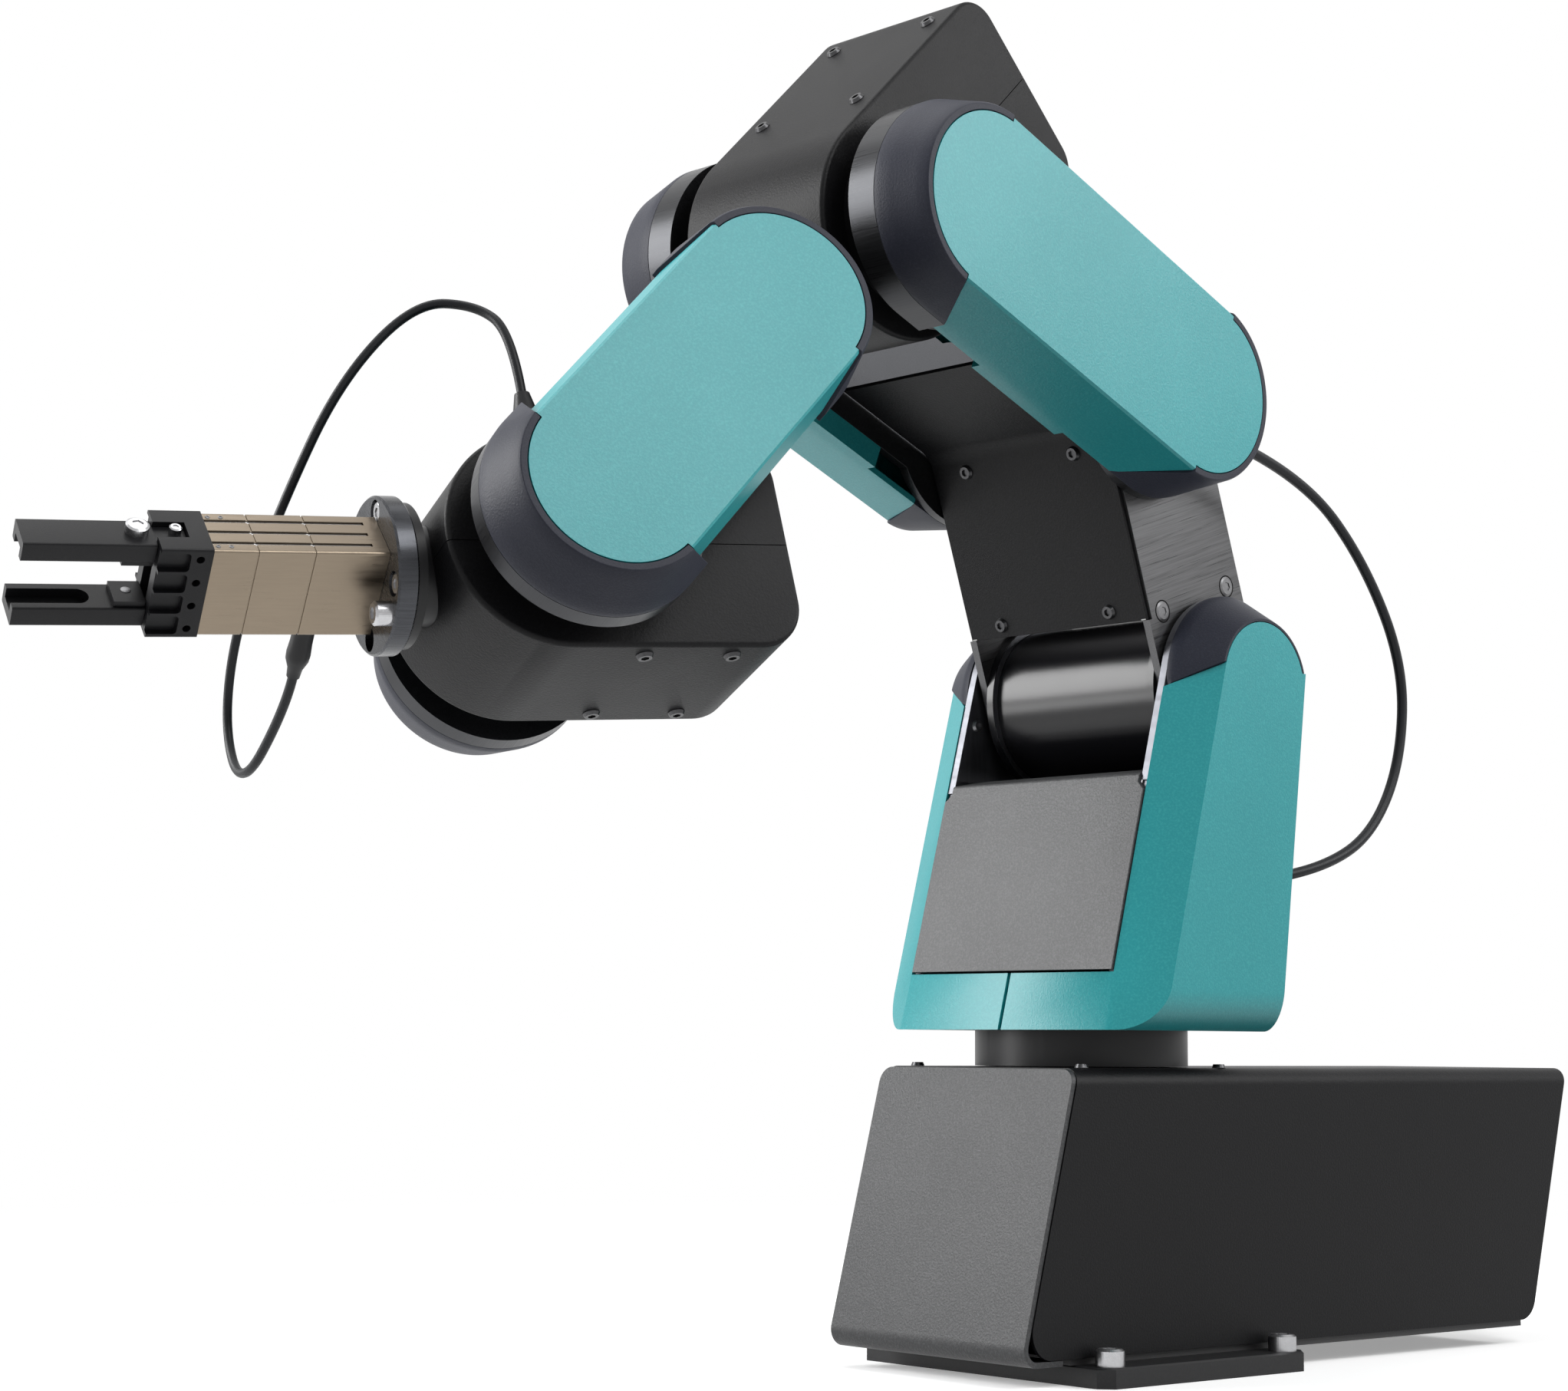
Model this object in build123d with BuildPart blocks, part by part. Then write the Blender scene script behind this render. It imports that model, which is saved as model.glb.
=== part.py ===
# Six-axis robot arm with a two-finger electric gripper, posed as in the photograph.
# World frame: origin on the first axis at the underside of the base plate, +X forward, +Z up.
import os
from math import cos, hypot, pi, radians, sin, tan
from build123d import *

os.makedirs("parts", exist_ok=True)

# Pose in the photograph, in degrees; every joint is at zero in this pose
TURN_BASE = 4.2
LEAN_ARM = 70.6
LEAN_FORK = 21.5
LEAN_FOREARM = -45.3
ROLL_FOREARM = 25.5
PITCH_WRIST = 44.3
ROLL_TOOL = 27.8

# Places of the axes, seen from the side of the column
SHOULDER_X = -33.0
SHOULDER_Z = 314.5
ELBOW_X = 167.3
ELBOW_Z = 503.9
FOREARM_LENGTH = 240.0
FLANGE_REACH = 69.5

SIDES = (("left", 1), ("right", -1))

# Clearances
RUN_GAP = 0.3
SEAT_GAP = 0.1
SEAM_GAP = 0.4

# End caps of the pods: the rim runs on past the round end, the band on the face passes it
CAP_RIM_LONG = 14.0
CAP_FACE_SHORT = 3.5
CAP_BAND = 1.6

# Base plate and its mounting holes
PLATE_X = 136.0
PLATE_Y = 162.0
PLATE_T = 9.0
PLATE_CORNER = 6.0
HOLE_D = 9.0
HOLE_SPACING_X = 114.0
HOLE_SPACING_Y = 145.0

# Base housing, a leaning box of sheet metal
BOX_WIDTH = 128.0
BOX_TOP = 138.0
BOX_FRONT_TOP = 69.0
BOX_LENGTH = 361.0
BOX_LEAN = 34.0
BOX_SHEET = 2.0
BOX_EDGE = 8.0
FRONT_T = 2.5
FRONT_BEND = 8.0
PAN_T = 3.0
PAN_WALL = 24.0
BASE_DRIVE_R = 44.0
SPIGOT_R = 30.0
SPIGOT_DEEP = 10.0

# Column
NECK_R = 50.0
COLUMN_BOTTOM = 155.0
COLUMN_IN = 62.0
COLUMN_OUT = 85.0
COLUMN_R = 44.5
COLUMN_FACE_R = 30.5
COLUMN_SEAM_LOW = -1.5
COLUMN_SEAM_HIGH = 9.4
COLUMN_LEAN_FRONT = 15.7
COLUMN_LEAN_REAR = 7.5
SHELL_T = 3.0
COVER_T = 2.5
FRONT_COVER_TOP = 272.0
FRONT_COVER_LOW = 182.0
FRONT_COVER_PROUD = 1.0
FRONT_COVER_CORNER = 4.0
SIDE_PLATE_T = 4.0
TURRET_T = 20.0

# Lower arm
ARM_HALF = 36.4
ARM_TOP = 150.0
ARM_PLATE_OUT = 56.0
ARM_PLATE_T = 4.0
ARM_COVER_START = 44.0
ARM_COVER_HALF = 54.6
ARM_COVER_BEND = 12.0
FORK_COVER_LOW = 24.0
FORK_COVER_END = -75.0
ARM_SCREW_X = (50.0, 126.0)
ARM_SCREW_Y = 33.5
HEAD_R = 4.0
HEAD_T = 1.8
DRUM_R = 38.0
DRUM_RIM_R = 41.5
AXLE_R = 22.0
FORK_SPAN = 157.7

# Pods of the lower arm, at each side of the elbow
POD_A_IN = 61.0
POD_A_OUT = 96.5
POD_A_FACE_R = 40.4
POD_A_WALL_R = 46.0
POD_A_CAP_R = 48.5
POD_A_BODY_R = 35.0
RING_A_OUT = 71.0
RING_T = 2.2

# Elbow housing
ELBOW_HALF = 43.0
ELBOW_R = 51.0
ELBOW_TAIL = 117.0
ELBOW_CORNER = 16.0
ELBOW_SEAM = 3.5
ELBOW_SCREW_X = (-92.6, -27.8)
ELBOW_SCREW_Y = 29.8
HUB_R = 38.0
STUB_R = 20.0
ROLL_R = 38.0
ROLL_FACE = 62.0

# Forearm
POD_B_START = 118.5
POD_B_SPAN = FOREARM_LENGTH - POD_B_START
POD_B_IN = 60.5
POD_B_OUT = 90.4
POD_B_FACE_R = 38.0
POD_B_WALL_R = 43.0
POD_B_CAP_R = 47.4
POD_B_END_R = 45.0
RING_B_OUT = 65.0
YOKE_HALF = 56.0
YOKE_CLEAR = 27.7

# Wrist housing
WRIST_HALF = 38.0
WRIST_R = 47.0
WRIST_TAIL = 95.3
WRIST_CORNER = 20.0
WRIST_NOSE = 4.5
WRIST_SEAM = -2.3
WRIST_SCREW_X = (-26.7, -64.9)
WRIST_SCREW_Y = 29.1
NOSE_R = 20.0
FLANGE_R = 29.0
FLANGE_T = 4.3
ADAPTER_R = 31.5
ADAPTER_T = 8.5
ADAPTER_TURN = 30.0

# Gripper
GRIP_WIDTH = 40.0
GRIP_DEPTH = 25.0
GRIP_LENGTH = 69.5
HEAD_LENGTH = 20.0
HEAD_POCKET_PITCH = 9.8
HEAD_POCKET_HIGH = 8.4
HEAD_HOLE_PITCH = 10.8
HEAD_HOLE_R = 1.6
LUG_START = 60.0
LUG_LENGTH = 13.0
FINGER_GAP = 21.6
FINGER_HIGH = 8.2
FINGER_DEEP = 16.0
FINGER_LENGTH = 50.0
FINGER_SCOOP = 30.0
FINGER_PAD = 12.0
GUIDE_DEEP = 9.0
CONNECTOR_X = 22.5
CONNECTOR_TIP = 50.0

# Cords and plugs
PLUG_X = -1.0
PLUG_Y = 14.0
PLUG_TOP = 76.0
GRIPPER_CORD_D = 4.0
REAR_CORD_D = 5.0
CORD_BEND = 0.45


def turned(frame, x, z, angle):
    """A frame moved within the side view of another frame and leaned about its y axis."""
    c, s = cos(radians(angle)), sin(radians(angle))
    return Plane(
        origin=frame.from_local_coords(Vector(x, 0, z)),
        x_dir=frame.x_dir * c + frame.z_dir * s,
        z_dir=frame.z_dir * c - frame.x_dir * s,
    )


def rolled(frame, angle):
    """A frame rolled about its own x axis."""
    c, s = cos(radians(angle)), sin(radians(angle))
    return Plane(origin=frame.origin, x_dir=frame.x_dir, z_dir=frame.z_dir * c - frame.y_dir * s)


def side(frame, y=0.0):
    """Sketch plane of the side view: local x along the frame, local y up, normal to the right."""
    origin = frame.from_local_coords(Vector(0, y, 0))
    return Plane(origin=origin, x_dir=frame.x_dir, z_dir=frame.y_dir * -1)


def across(frame, x=0.0):
    """Sketch plane square to the frame's x axis: local x is left, local y is up."""
    origin = frame.from_local_coords(Vector(x, 0, 0))
    return Plane(origin=origin, x_dir=frame.y_dir, z_dir=frame.x_dir)


def level(frame, z=0.0):
    """Sketch plane square to the frame's z axis."""
    origin = frame.from_local_coords(Vector(0, 0, z))
    return Plane(origin=origin, x_dir=frame.x_dir, z_dir=frame.z_dir)


def nearest(vertices, x, y):
    """The corner of a sketch that lies closest to a point of its plane."""
    return vertices.sort_by(lambda v: (v.center() - Vector(x, y)).length)[0]


def save(maker, name):
    maker.part.label = name
    export_step(maker.part, f"parts/{name}.step")
    print(name, len(maker.part.solids()), round(maker.part.volume / 1000, 1), "cm3")


BASE = Plane.XY
COLUMN = Plane(
    origin=(0, 0, 0), x_dir=(cos(radians(TURN_BASE)), sin(radians(TURN_BASE)), 0), z_dir=(0, 0, 1)
)
ARM = turned(COLUMN, SHOULDER_X, SHOULDER_Z, LEAN_ARM)
FORK = turned(COLUMN, ELBOW_X, ELBOW_Z, LEAN_FORK)
ELBOW = turned(COLUMN, ELBOW_X, ELBOW_Z, LEAN_FOREARM)
FOREARM = rolled(turned(ELBOW, FOREARM_LENGTH, 0, 0), ROLL_FOREARM)
WRIST = turned(FOREARM, 0, 0, PITCH_WRIST)
TOOL = rolled(turned(WRIST, FLANGE_REACH, 0, 0), ROLL_TOOL)

BOX_LOW = PLATE_T + SEAT_GAP
PAN_TOP = BOX_LOW + PAN_T
TURRET_TOP = COLUMN_BOTTOM + TURRET_T
LEAN_RATE = BOX_LEAN / (BOX_TOP - BOX_LOW)
BOX_REAR_TOP = BOX_FRONT_TOP - BOX_LENGTH


def box_front(z, inset=0.0):
    """Front line of the base housing at a height, moved back by an inset."""
    return BOX_FRONT_TOP + (BOX_TOP - z) * LEAN_RATE - inset


def box_rear(z, inset=0.0):
    return BOX_REAR_TOP + (BOX_TOP - z) * LEAN_RATE + inset


def column_front(z, proud=0.0):
    """Front line of the column: it touches the round top about the shoulder axis."""
    a = radians(COLUMN_LEAN_FRONT)
    x = SHOULDER_X + (COLUMN_R + proud) / cos(a) + (SHOULDER_Z - z) * tan(a)
    return x


def column_rear(z, proud=0.0):
    a = radians(COLUMN_LEAN_REAR)
    return SHOULDER_X - (COLUMN_R + proud) / cos(a) + (SHOULDER_Z - z) * tan(a)


# Base body


def make_base_plate():
    with BuildPart() as base_plate:
        with BuildSketch(BASE) as outline:
            Rectangle(PLATE_X, PLATE_Y)
            chamfer(outline.vertices(), PLATE_CORNER)
        extrude(amount=PLATE_T)
        chamfer(base_plate.faces().sort_by(Axis.Z)[-1].edges(), 0.8)
        with Locations(BASE.offset(PLATE_T)):
            with GridLocations(HOLE_SPACING_X, HOLE_SPACING_Y, 2, 2):
                Hole(HOLE_D / 2)
    save(base_plate, "base_plate")


def make_base_pan():
    half = BOX_WIDTH / 2 - BOX_SHEET - RUN_GAP
    front = box_front(BOX_LOW, FRONT_T + 4)
    rear = box_rear(BOX_LOW, 6)
    with BuildPart() as base_pan:
        with BuildSketch(across(BASE, rear)):
            with BuildLine():
                Polyline(
                    (-half, BOX_LOW), (half, BOX_LOW), (half, BOX_LOW + PAN_WALL),
                    (half - BOX_SHEET, BOX_LOW + PAN_WALL), (half - BOX_SHEET, PAN_TOP),
                    (BOX_SHEET - half, PAN_TOP), (BOX_SHEET - half, BOX_LOW + PAN_WALL),
                    (-half, BOX_LOW + PAN_WALL), close=True,
                )
            make_face()
        extrude(amount=front - 26 - rear)
    save(base_pan, "base_pan")


def make_base_cover():
    end = FRONT_T + RUN_GAP
    low = BOX_LOW + FRONT_T + 0.5
    half = BOX_WIDTH / 2
    with BuildPart() as base_cover:
        with BuildSketch(side(BASE)):
            with BuildLine():
                Polyline(
                    (box_front(low, end), low), (box_front(BOX_TOP, end), BOX_TOP),
                    (box_rear(BOX_TOP), BOX_TOP), (box_rear(low), low), close=True,
                )
            outline = make_face()
            fillet(outline.vertices().group_by(Axis.Y)[0], 12)
        extrude(amount=half, both=True)
        top = base_cover.faces().sort_by(Axis.Z)[-1]
        fillet(top.edges().filter_by(Axis.X), BOX_EDGE)
        with BuildSketch(across(BASE, BOX_REAR_TOP - 20)) as inside:
            with Locations((0, (BOX_TOP - BOX_SHEET) / 2 - 20)):
                Rectangle(2 * half - 2 * BOX_SHEET, BOX_TOP - BOX_SHEET + 40)
            fillet(inside.vertices().group_by(Axis.Y)[-1], BOX_EDGE - BOX_SHEET)
        extrude(amount=BOX_LENGTH + 120, mode=Mode.SUBTRACT)
        with Locations(BASE.offset(BOX_TOP)):
            Hole(BASE_DRIVE_R + RUN_GAP, depth=2 * BOX_SHEET)
    save(base_cover, "base_cover")


def make_base_front():
    low = BOX_LOW + 0.2
    top = BOX_TOP - 0.5
    over = top + 5
    thick = FRONT_T * 1.04
    half = BOX_WIDTH / 2 - 0.6
    with BuildPart() as base_front_plate:
        with BuildSketch(side(BASE)) as bent:
            with BuildLine():
                Polyline(
                    (box_front(over), over), (box_front(low), low), (box_front(low) - 26, low),
                    (box_front(low) - 26, low + FRONT_T),
                    (box_front(low + FRONT_T, thick), low + FRONT_T),
                    (box_front(over, thick), over), close=True,
                )
            make_face()
            fillet(bent.vertices().sort_by(Axis.X)[-2], FRONT_BEND - FRONT_T)
            fillet(bent.vertices().sort_by(Axis.X)[-1], FRONT_BEND)
        extrude(amount=half + 5, both=True)
        with BuildSketch(across(BASE, BOX_FRONT_TOP - 30)) as front_view:
            with Locations((0, top / 2 - 10)):
                Rectangle(2 * half, top + 20)
            fillet(front_view.vertices().group_by(Axis.Y)[-1], 7)
        extrude(amount=BOX_LEAN + 60, mode=Mode.INTERSECT)
    save(base_front_plate, "base_front_plate")


def make_base_rear():
    half = BOX_WIDTH / 2 - BOX_SHEET - RUN_GAP
    low = PAN_TOP + RUN_GAP
    top = BOX_TOP - BOX_SHEET - BOX_EDGE / 3
    with BuildPart() as base_rear_panel:
        with BuildSketch(side(BASE)):
            with BuildLine():
                Polyline(
                    (box_rear(low, 4), low), (box_rear(top, 4), top),
                    (box_rear(top, 4 + COVER_T), top), (box_rear(low, 4 + COVER_T), low), close=True,
                )
            make_face()
        extrude(amount=half - BOX_SHEET - RUN_GAP, both=True)
        with BuildSketch(across(BASE, box_rear(BOX_TOP, -10))):
            with Locations((-22, 92)):
                RectangleRounded(48, 28, 3)
            with Locations((24, 92), (44, 92)):
                Circle(7)
        extrude(amount=60, mode=Mode.SUBTRACT)
    save(base_rear_panel, "base_rear_panel")


def make_base_screws():
    with BuildPart() as base_screws:
        for x in (box_front(BOX_TOP, 14), -60.0, -160.0, BOX_REAR_TOP + 20):
            with Locations(BASE.offset(BOX_TOP + SEAT_GAP)):
                with Locations((x, -54), (x, 54)):
                    Cylinder(3.2, 1.6, align=(Align.CENTER, Align.CENTER, Align.MIN))
        heads = base_screws.faces().group_by(Axis.Z)[-1]
        chamfer(heads.edges(), 0.5)
    save(base_screws, "base_screws")


def make_base_drive():
    with BuildPart() as base_drive:
        with BuildSketch(BASE.offset(PAN_TOP + SEAT_GAP)):
            Circle(BASE_DRIVE_R + 12)
        extrude(amount=8)
        with BuildSketch(BASE.offset(PAN_TOP + SEAT_GAP)):
            Circle(BASE_DRIVE_R)
        extrude(amount=BOX_TOP - PAN_TOP - SEAT_GAP)
        with Locations(BASE.offset(BOX_TOP)):
            Hole(SPIGOT_R + RUN_GAP, depth=SPIGOT_DEEP + RUN_GAP)
        with Locations(BASE.offset(PAN_TOP + SEAT_GAP + 8)):
            with PolarLocations(BASE_DRIVE_R + 6, 8):
                Hole(3.3)
    save(base_drive, "base_drive")


# Column body


def make_turret():
    with BuildPart() as turret:
        with BuildSketch(level(COLUMN, BOX_TOP - SPIGOT_DEEP)):
            Circle(SPIGOT_R)
        extrude(amount=SPIGOT_DEEP + 5)
        with BuildSketch(level(COLUMN, BOX_TOP + RUN_GAP + 0.1)):
            Circle(NECK_R)
        extrude(amount=COLUMN_BOTTOM - BOX_TOP + 1)
        front = column_front(TURRET_TOP) - SHELL_T - 2
        rear = column_rear(TURRET_TOP) + 6
        half = COLUMN_IN - SIDE_PLATE_T - 2 * SEAT_GAP - 0.3
        with BuildSketch(level(COLUMN, COLUMN_BOTTOM + 0.5)) as block:
            with Locations(((front + rear) / 2, 0)):
                Rectangle(front - rear, 2 * half)
            chamfer(block.vertices(), 6)
        extrude(amount=TURRET_TOP - COLUMN_BOTTOM - 0.5)
    save(turret, "turret")


def wide_top():
    """Height up to which the front cover is as wide as the side plates."""
    return FRONT_COVER_TOP - 3.5


def column_outline(low, inset=0.0):
    """Closed side view of the column: two leaning lines touching a round top."""
    front, rear = radians(COLUMN_LEAN_FRONT), radians(COLUMN_LEAN_REAR)
    r = COLUMN_R - inset
    tip = (SHOULDER_X + r * cos(front), SHOULDER_Z + r * sin(front))
    back = (SHOULDER_X - r * cos(rear), SHOULDER_Z - r * sin(rear))
    Polyline(back, (column_rear(low, -inset), low), (column_front(low, -inset), low), tip)
    ThreePointArc(tip, (SHOULDER_X, SHOULDER_Z + r), back)


def make_column_plate(name, s):
    inner = COLUMN_IN - SEAT_GAP - SIDE_PLATE_T
    with BuildPart() as column_plate:
        with BuildSketch(side(COLUMN, s * inner)):
            with BuildLine():
                column_outline(COLUMN_BOTTOM + 6, 0.6)
            make_face()
            with Locations((SHOULDER_X, SHOULDER_Z)):
                Circle(AXLE_R + RUN_GAP, mode=Mode.SUBTRACT)
            with BuildLine():
                z1, z2, back = COLUMN_BOTTOM, FRONT_COVER_LOW - 1 + RUN_GAP, -SHELL_T - RUN_GAP
                Polyline(
                    (column_front(z2, 9), z2), (column_front(z2, back), z2),
                    (column_front(z1, back), z1), (column_front(z1, 9), z1), close=True,
                )
            make_face(mode=Mode.SUBTRACT)
            with BuildLine():
                z1, z2 = FRONT_COVER_LOW - SEAM_GAP - 1, wide_top() + SEAM_GAP
                back = FRONT_COVER_PROUD - COVER_T - SEAT_GAP
                Polyline(
                    (column_front(z2, 9), z2), (column_front(z2, back), z2),
                    (column_front(z1, back), z1), (column_front(z1, 9), z1), close=True,
                )
            make_face(mode=Mode.SUBTRACT)
        extrude(amount=-s * SIDE_PLATE_T)
    save(column_plate, name)


def beside_column_seam(s, gap, z_far):
    """Outline across the column between the slanted seam of a shell and a far height."""
    over = 5.0
    rate = (COLUMN_SEAM_HIGH - COLUMN_SEAM_LOW) / (COLUMN_OUT - COLUMN_IN)
    low = SHOULDER_Z + COLUMN_SEAM_LOW - gap
    y1, y2 = COLUMN_IN - over, COLUMN_OUT + over
    z1, z2 = low - rate * over, low + rate * (y2 - COLUMN_IN)
    Polyline((s * y1, z1), (s * y2, z2), (s * y2, z_far), (s * y1, z_far), close=True)


def column_quad(z_top, z_low, inset, wall):
    front = column_front(z_top, -inset - wall), column_front(z_low, -inset - wall)
    rear = column_rear(z_top, -inset - wall), column_rear(z_low, -inset - wall)
    Polyline((rear[0], z_top), (rear[1], z_low), (front[1], z_low), (front[0], z_top), close=True)


def make_column_shell(name, s):
    face_inset = COLUMN_R - COLUMN_FACE_R
    top = SHOULDER_Z + COLUMN_SEAM_HIGH
    with BuildPart() as column_shell:
        with BuildSketch(side(COLUMN, s * COLUMN_IN)):
            with BuildLine():
                column_quad(top, COLUMN_BOTTOM, 0, 0)
            make_face()
        with BuildSketch(side(COLUMN, s * COLUMN_OUT)):
            with BuildLine():
                column_quad(top, COLUMN_BOTTOM, face_inset, 0)
            make_face()
        loft()
        foot = column_shell.edges().group_by(Axis.Z)[0]
        outer = foot.sort_by(lambda e: s * COLUMN.to_local_coords(e.center()).Y)[-1]
        fillet(outer, 19)
        with BuildSketch(side(COLUMN, s * (COLUMN_IN - 1))):
            with BuildLine():
                column_quad(top + 20, COLUMN_BOTTOM + SHELL_T, -0.6, SHELL_T)
            make_face()
        with BuildSketch(side(COLUMN, s * (COLUMN_OUT - SHELL_T))):
            with BuildLine():
                column_quad(top + 20, COLUMN_BOTTOM + SHELL_T + 12, face_inset - 2, SHELL_T)
            make_face()
        loft(mode=Mode.SUBTRACT)
        with BuildSketch(across(COLUMN)):
            with BuildLine():
                beside_column_seam(s, SEAM_GAP, top + COLUMN_R)
            make_face()
        extrude(amount=3 * COLUMN_R, both=True, mode=Mode.SUBTRACT)
        with BuildSketch(side(COLUMN, s * COLUMN_OUT)):
            with Locations((SHOULDER_X, SHOULDER_Z)):
                Circle(COLUMN_FACE_R)
        extrude(amount=s * SHELL_T)
        with BuildSketch(side(COLUMN, s * COLUMN_IN)):
            with BuildLine():
                z_up = FRONT_COVER_LOW - 1
                Polyline(
                    (column_front(z_up), z_up), (column_front(COLUMN_BOTTOM), COLUMN_BOTTOM),
                    (column_front(COLUMN_BOTTOM) - SHELL_T, COLUMN_BOTTOM),
                    (column_front(z_up) - SHELL_T, z_up), close=True,
                )
            make_face()
        extrude(amount=s * (COLUMN_IN - SEAM_GAP - 0.6))
    save(column_shell, name)


def cap_section(r_cap, r_face, band, y_in, y_out):
    """Half section of an end cap: a thin wall that tapers from the wide rim to the face."""
    t = SHELL_T
    rim = r_face + 2.4
    inner = r_face - band + SEAM_GAP
    Polyline(
        (r_cap, y_in), (r_cap, y_in + 3), (rim, y_out - 1.2), (rim - 0.8, y_out),
        (inner, y_out), (inner, y_out - t - 0.6), (r_cap - t, y_in + 2), (r_cap - t, y_in),
        close=True,
    )


def cap_plane(frame, x, z, s, direction):
    """Half section plane through an end's axis: local x is outward, local y is along the axis."""
    return Plane(
        origin=frame.from_local_coords(Vector(x, 0, z)), x_dir=direction,
        z_dir=direction.cross(frame.y_dir * s),
    )


def make_column_cap(name, s):
    """Round top of a column side: a full turn of its section, cut at the slanted seam."""
    start = cap_plane(COLUMN, SHOULDER_X, SHOULDER_Z, s, COLUMN.x_dir)
    with BuildPart() as cap:
        with BuildSketch(start):
            with BuildLine():
                cap_section(COLUMN_R, COLUMN_FACE_R, 0, COLUMN_IN, COLUMN_OUT)
            make_face()
        revolve(axis=Axis(start.origin, start.y_dir))
        with BuildSketch(across(COLUMN)):
            with BuildLine():
                beside_column_seam(s, 0, COLUMN_BOTTOM)
            make_face()
        extrude(amount=3 * COLUMN_R, both=True, mode=Mode.SUBTRACT)
    save(cap, name)


def seam_slope(y_in, y_out):
    """How far a pod's seam moves along the pod for each millimetre from rim to face."""
    return (CAP_FACE_SHORT + CAP_RIM_LONG) / (y_out - y_in)


def make_pod_cap(name, frame, x, end, s, r_cap, r_face, y_in, y_out):
    """End cap of a pod: half a turn, then straight on up to a slanted seam.

    The number end is 1 at the joint's end of the pod and -1 at its other end."""
    over = 5.0
    slope = end * seam_slope(y_in, y_out)
    face, rim = x + end * CAP_FACE_SHORT, x - end * CAP_RIM_LONG
    with BuildPart() as cap:
        for half in (1, -1):
            start = cap_plane(frame, x, 0, s, frame.z_dir * (s * end * half))
            with BuildSketch(start) as section:
                with BuildLine():
                    cap_section(r_cap, r_face, CAP_BAND, y_in, y_out)
                make_face()
            extrude(amount=half * CAP_RIM_LONG)
            if half == 1:
                add(section.sketch)
                revolve(axis=Axis(start.origin, start.y_dir), revolution_arc=180)
        with BuildSketch(level(frame)):
            with BuildLine():
                Polyline(
                    (face + slope * over, s * (y_out + over)), (rim - slope * over, s * (y_in - over)),
                    (rim - end * 2 * r_cap, s * (y_in - over)),
                    (rim - end * 2 * r_cap, s * (y_out + over)), close=True,
                )
            make_face()
        extrude(amount=r_cap + 5, both=True, mode=Mode.SUBTRACT)
    save(cap, name)


def make_column_front_cover():
    """Sheet over the front edges of the side plates, its top rolled in between them."""
    z1, z2, z_wide = FRONT_COVER_LOW, FRONT_COVER_TOP, wide_top()
    out, back = FRONT_COVER_PROUD, FRONT_COVER_PROUD - COVER_T
    half = COLUMN_IN - SEAM_GAP - RUN_GAP
    with BuildPart() as column_front_cover:
        with BuildSketch(side(COLUMN)):
            with BuildLine():
                Polyline(
                    (column_front(z1, out), z1), (column_front(z_wide, out), z_wide),
                    (column_front(z_wide, back), z_wide), (column_front(z1, back), z1), close=True,
                )
            make_face()
        extrude(amount=half, both=True)
        corners = column_front_cover.edges().filter_by(
            lambda e: e.length < COVER_T + 0.1 and e.center().Z > z_wide - 0.1
        )
        chamfer(corners, FRONT_COVER_CORNER)
        with BuildSketch(side(COLUMN)):
            with BuildLine():
                Polyline(
                    (column_front(z1, out), z1), (column_front(z2, out), z2),
                    (column_front(z2, -13), z2 + 3), (column_front(z2, -13), z2 + 3 - COVER_T),
                    (column_front(z2 - 2.4, back), z2 - 2.4), (column_front(z1, back), z1),
                    close=True,
                )
            rolled_edge = make_face()
            fillet(nearest(rolled_edge.vertices(), column_front(z2, out), z2), 2.0)
        extrude(amount=COLUMN_IN - SIDE_PLATE_T - 3 * SEAT_GAP, both=True)
    save(column_front_cover, "column_front_cover")


def make_column_rear_cover():
    z1, z2 = COLUMN_BOTTOM + 4, FRONT_COVER_TOP - 2
    with BuildPart() as column_rear_cover:
        with BuildSketch(side(COLUMN)):
            with BuildLine():
                Polyline(
                    (column_rear(z1, 0.5), z1), (column_rear(z2, 0.5), z2),
                    (column_rear(z2, -12), z2 + 2), (column_rear(z2, -12), z2 + 2 - COVER_T),
                    (column_rear(z2 - 2.4, 0.5 - COVER_T), z2 - 2.4),
                    (column_rear(z1, 0.5 - COVER_T), z1), close=True,
                )
            make_face()
        extrude(amount=COLUMN_IN - SIDE_PLATE_T - 3 * SEAT_GAP, both=True)
    save(column_rear_cover, "column_rear_cover")


# Lower arm body


def make_arm_plate(name, s):
    inner = ARM_PLATE_OUT - ARM_PLATE_T
    with BuildPart() as arm_plate:
        with BuildSketch(side(ARM, s * inner)) as outline:
            Circle(ARM_HALF)
            with Locations((ARM_TOP / 2, 0)):
                Rectangle(ARM_TOP, 2 * ARM_HALF)
            fillet(outline.vertices().sort_by(Axis.X)[-2:], 18)
            Circle(AXLE_R + SEAT_GAP, mode=Mode.SUBTRACT)
            with Locations((ARM_COVER_START - SEAT_GAP, -ARM_HALF)):
                Rectangle(
                    ARM_TOP, 2 * (BOX_SHEET + SEAT_GAP), align=(Align.MIN, Align.CENTER),
                    mode=Mode.SUBTRACT,
                )
        extrude(amount=-s * ARM_PLATE_T)
    save(arm_plate, name)


def fork_point(u, w):
    """A point of the fork's side view, given in the side view of the lower arm."""
    point = ARM.to_local_coords(FORK.from_local_coords(Vector(u, 0, w)))
    return point.X, point.Z


def cover_bend(w, z):
    """Where a line along the fork meets a line along the lower arm, in the arm's side view."""
    (x1, z1), (x2, z2) = fork_point(0, w), fork_point(-FORK_SPAN, w)
    return x1 + (x2 - x1) * (z - z1) / (z2 - z1), z


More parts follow.
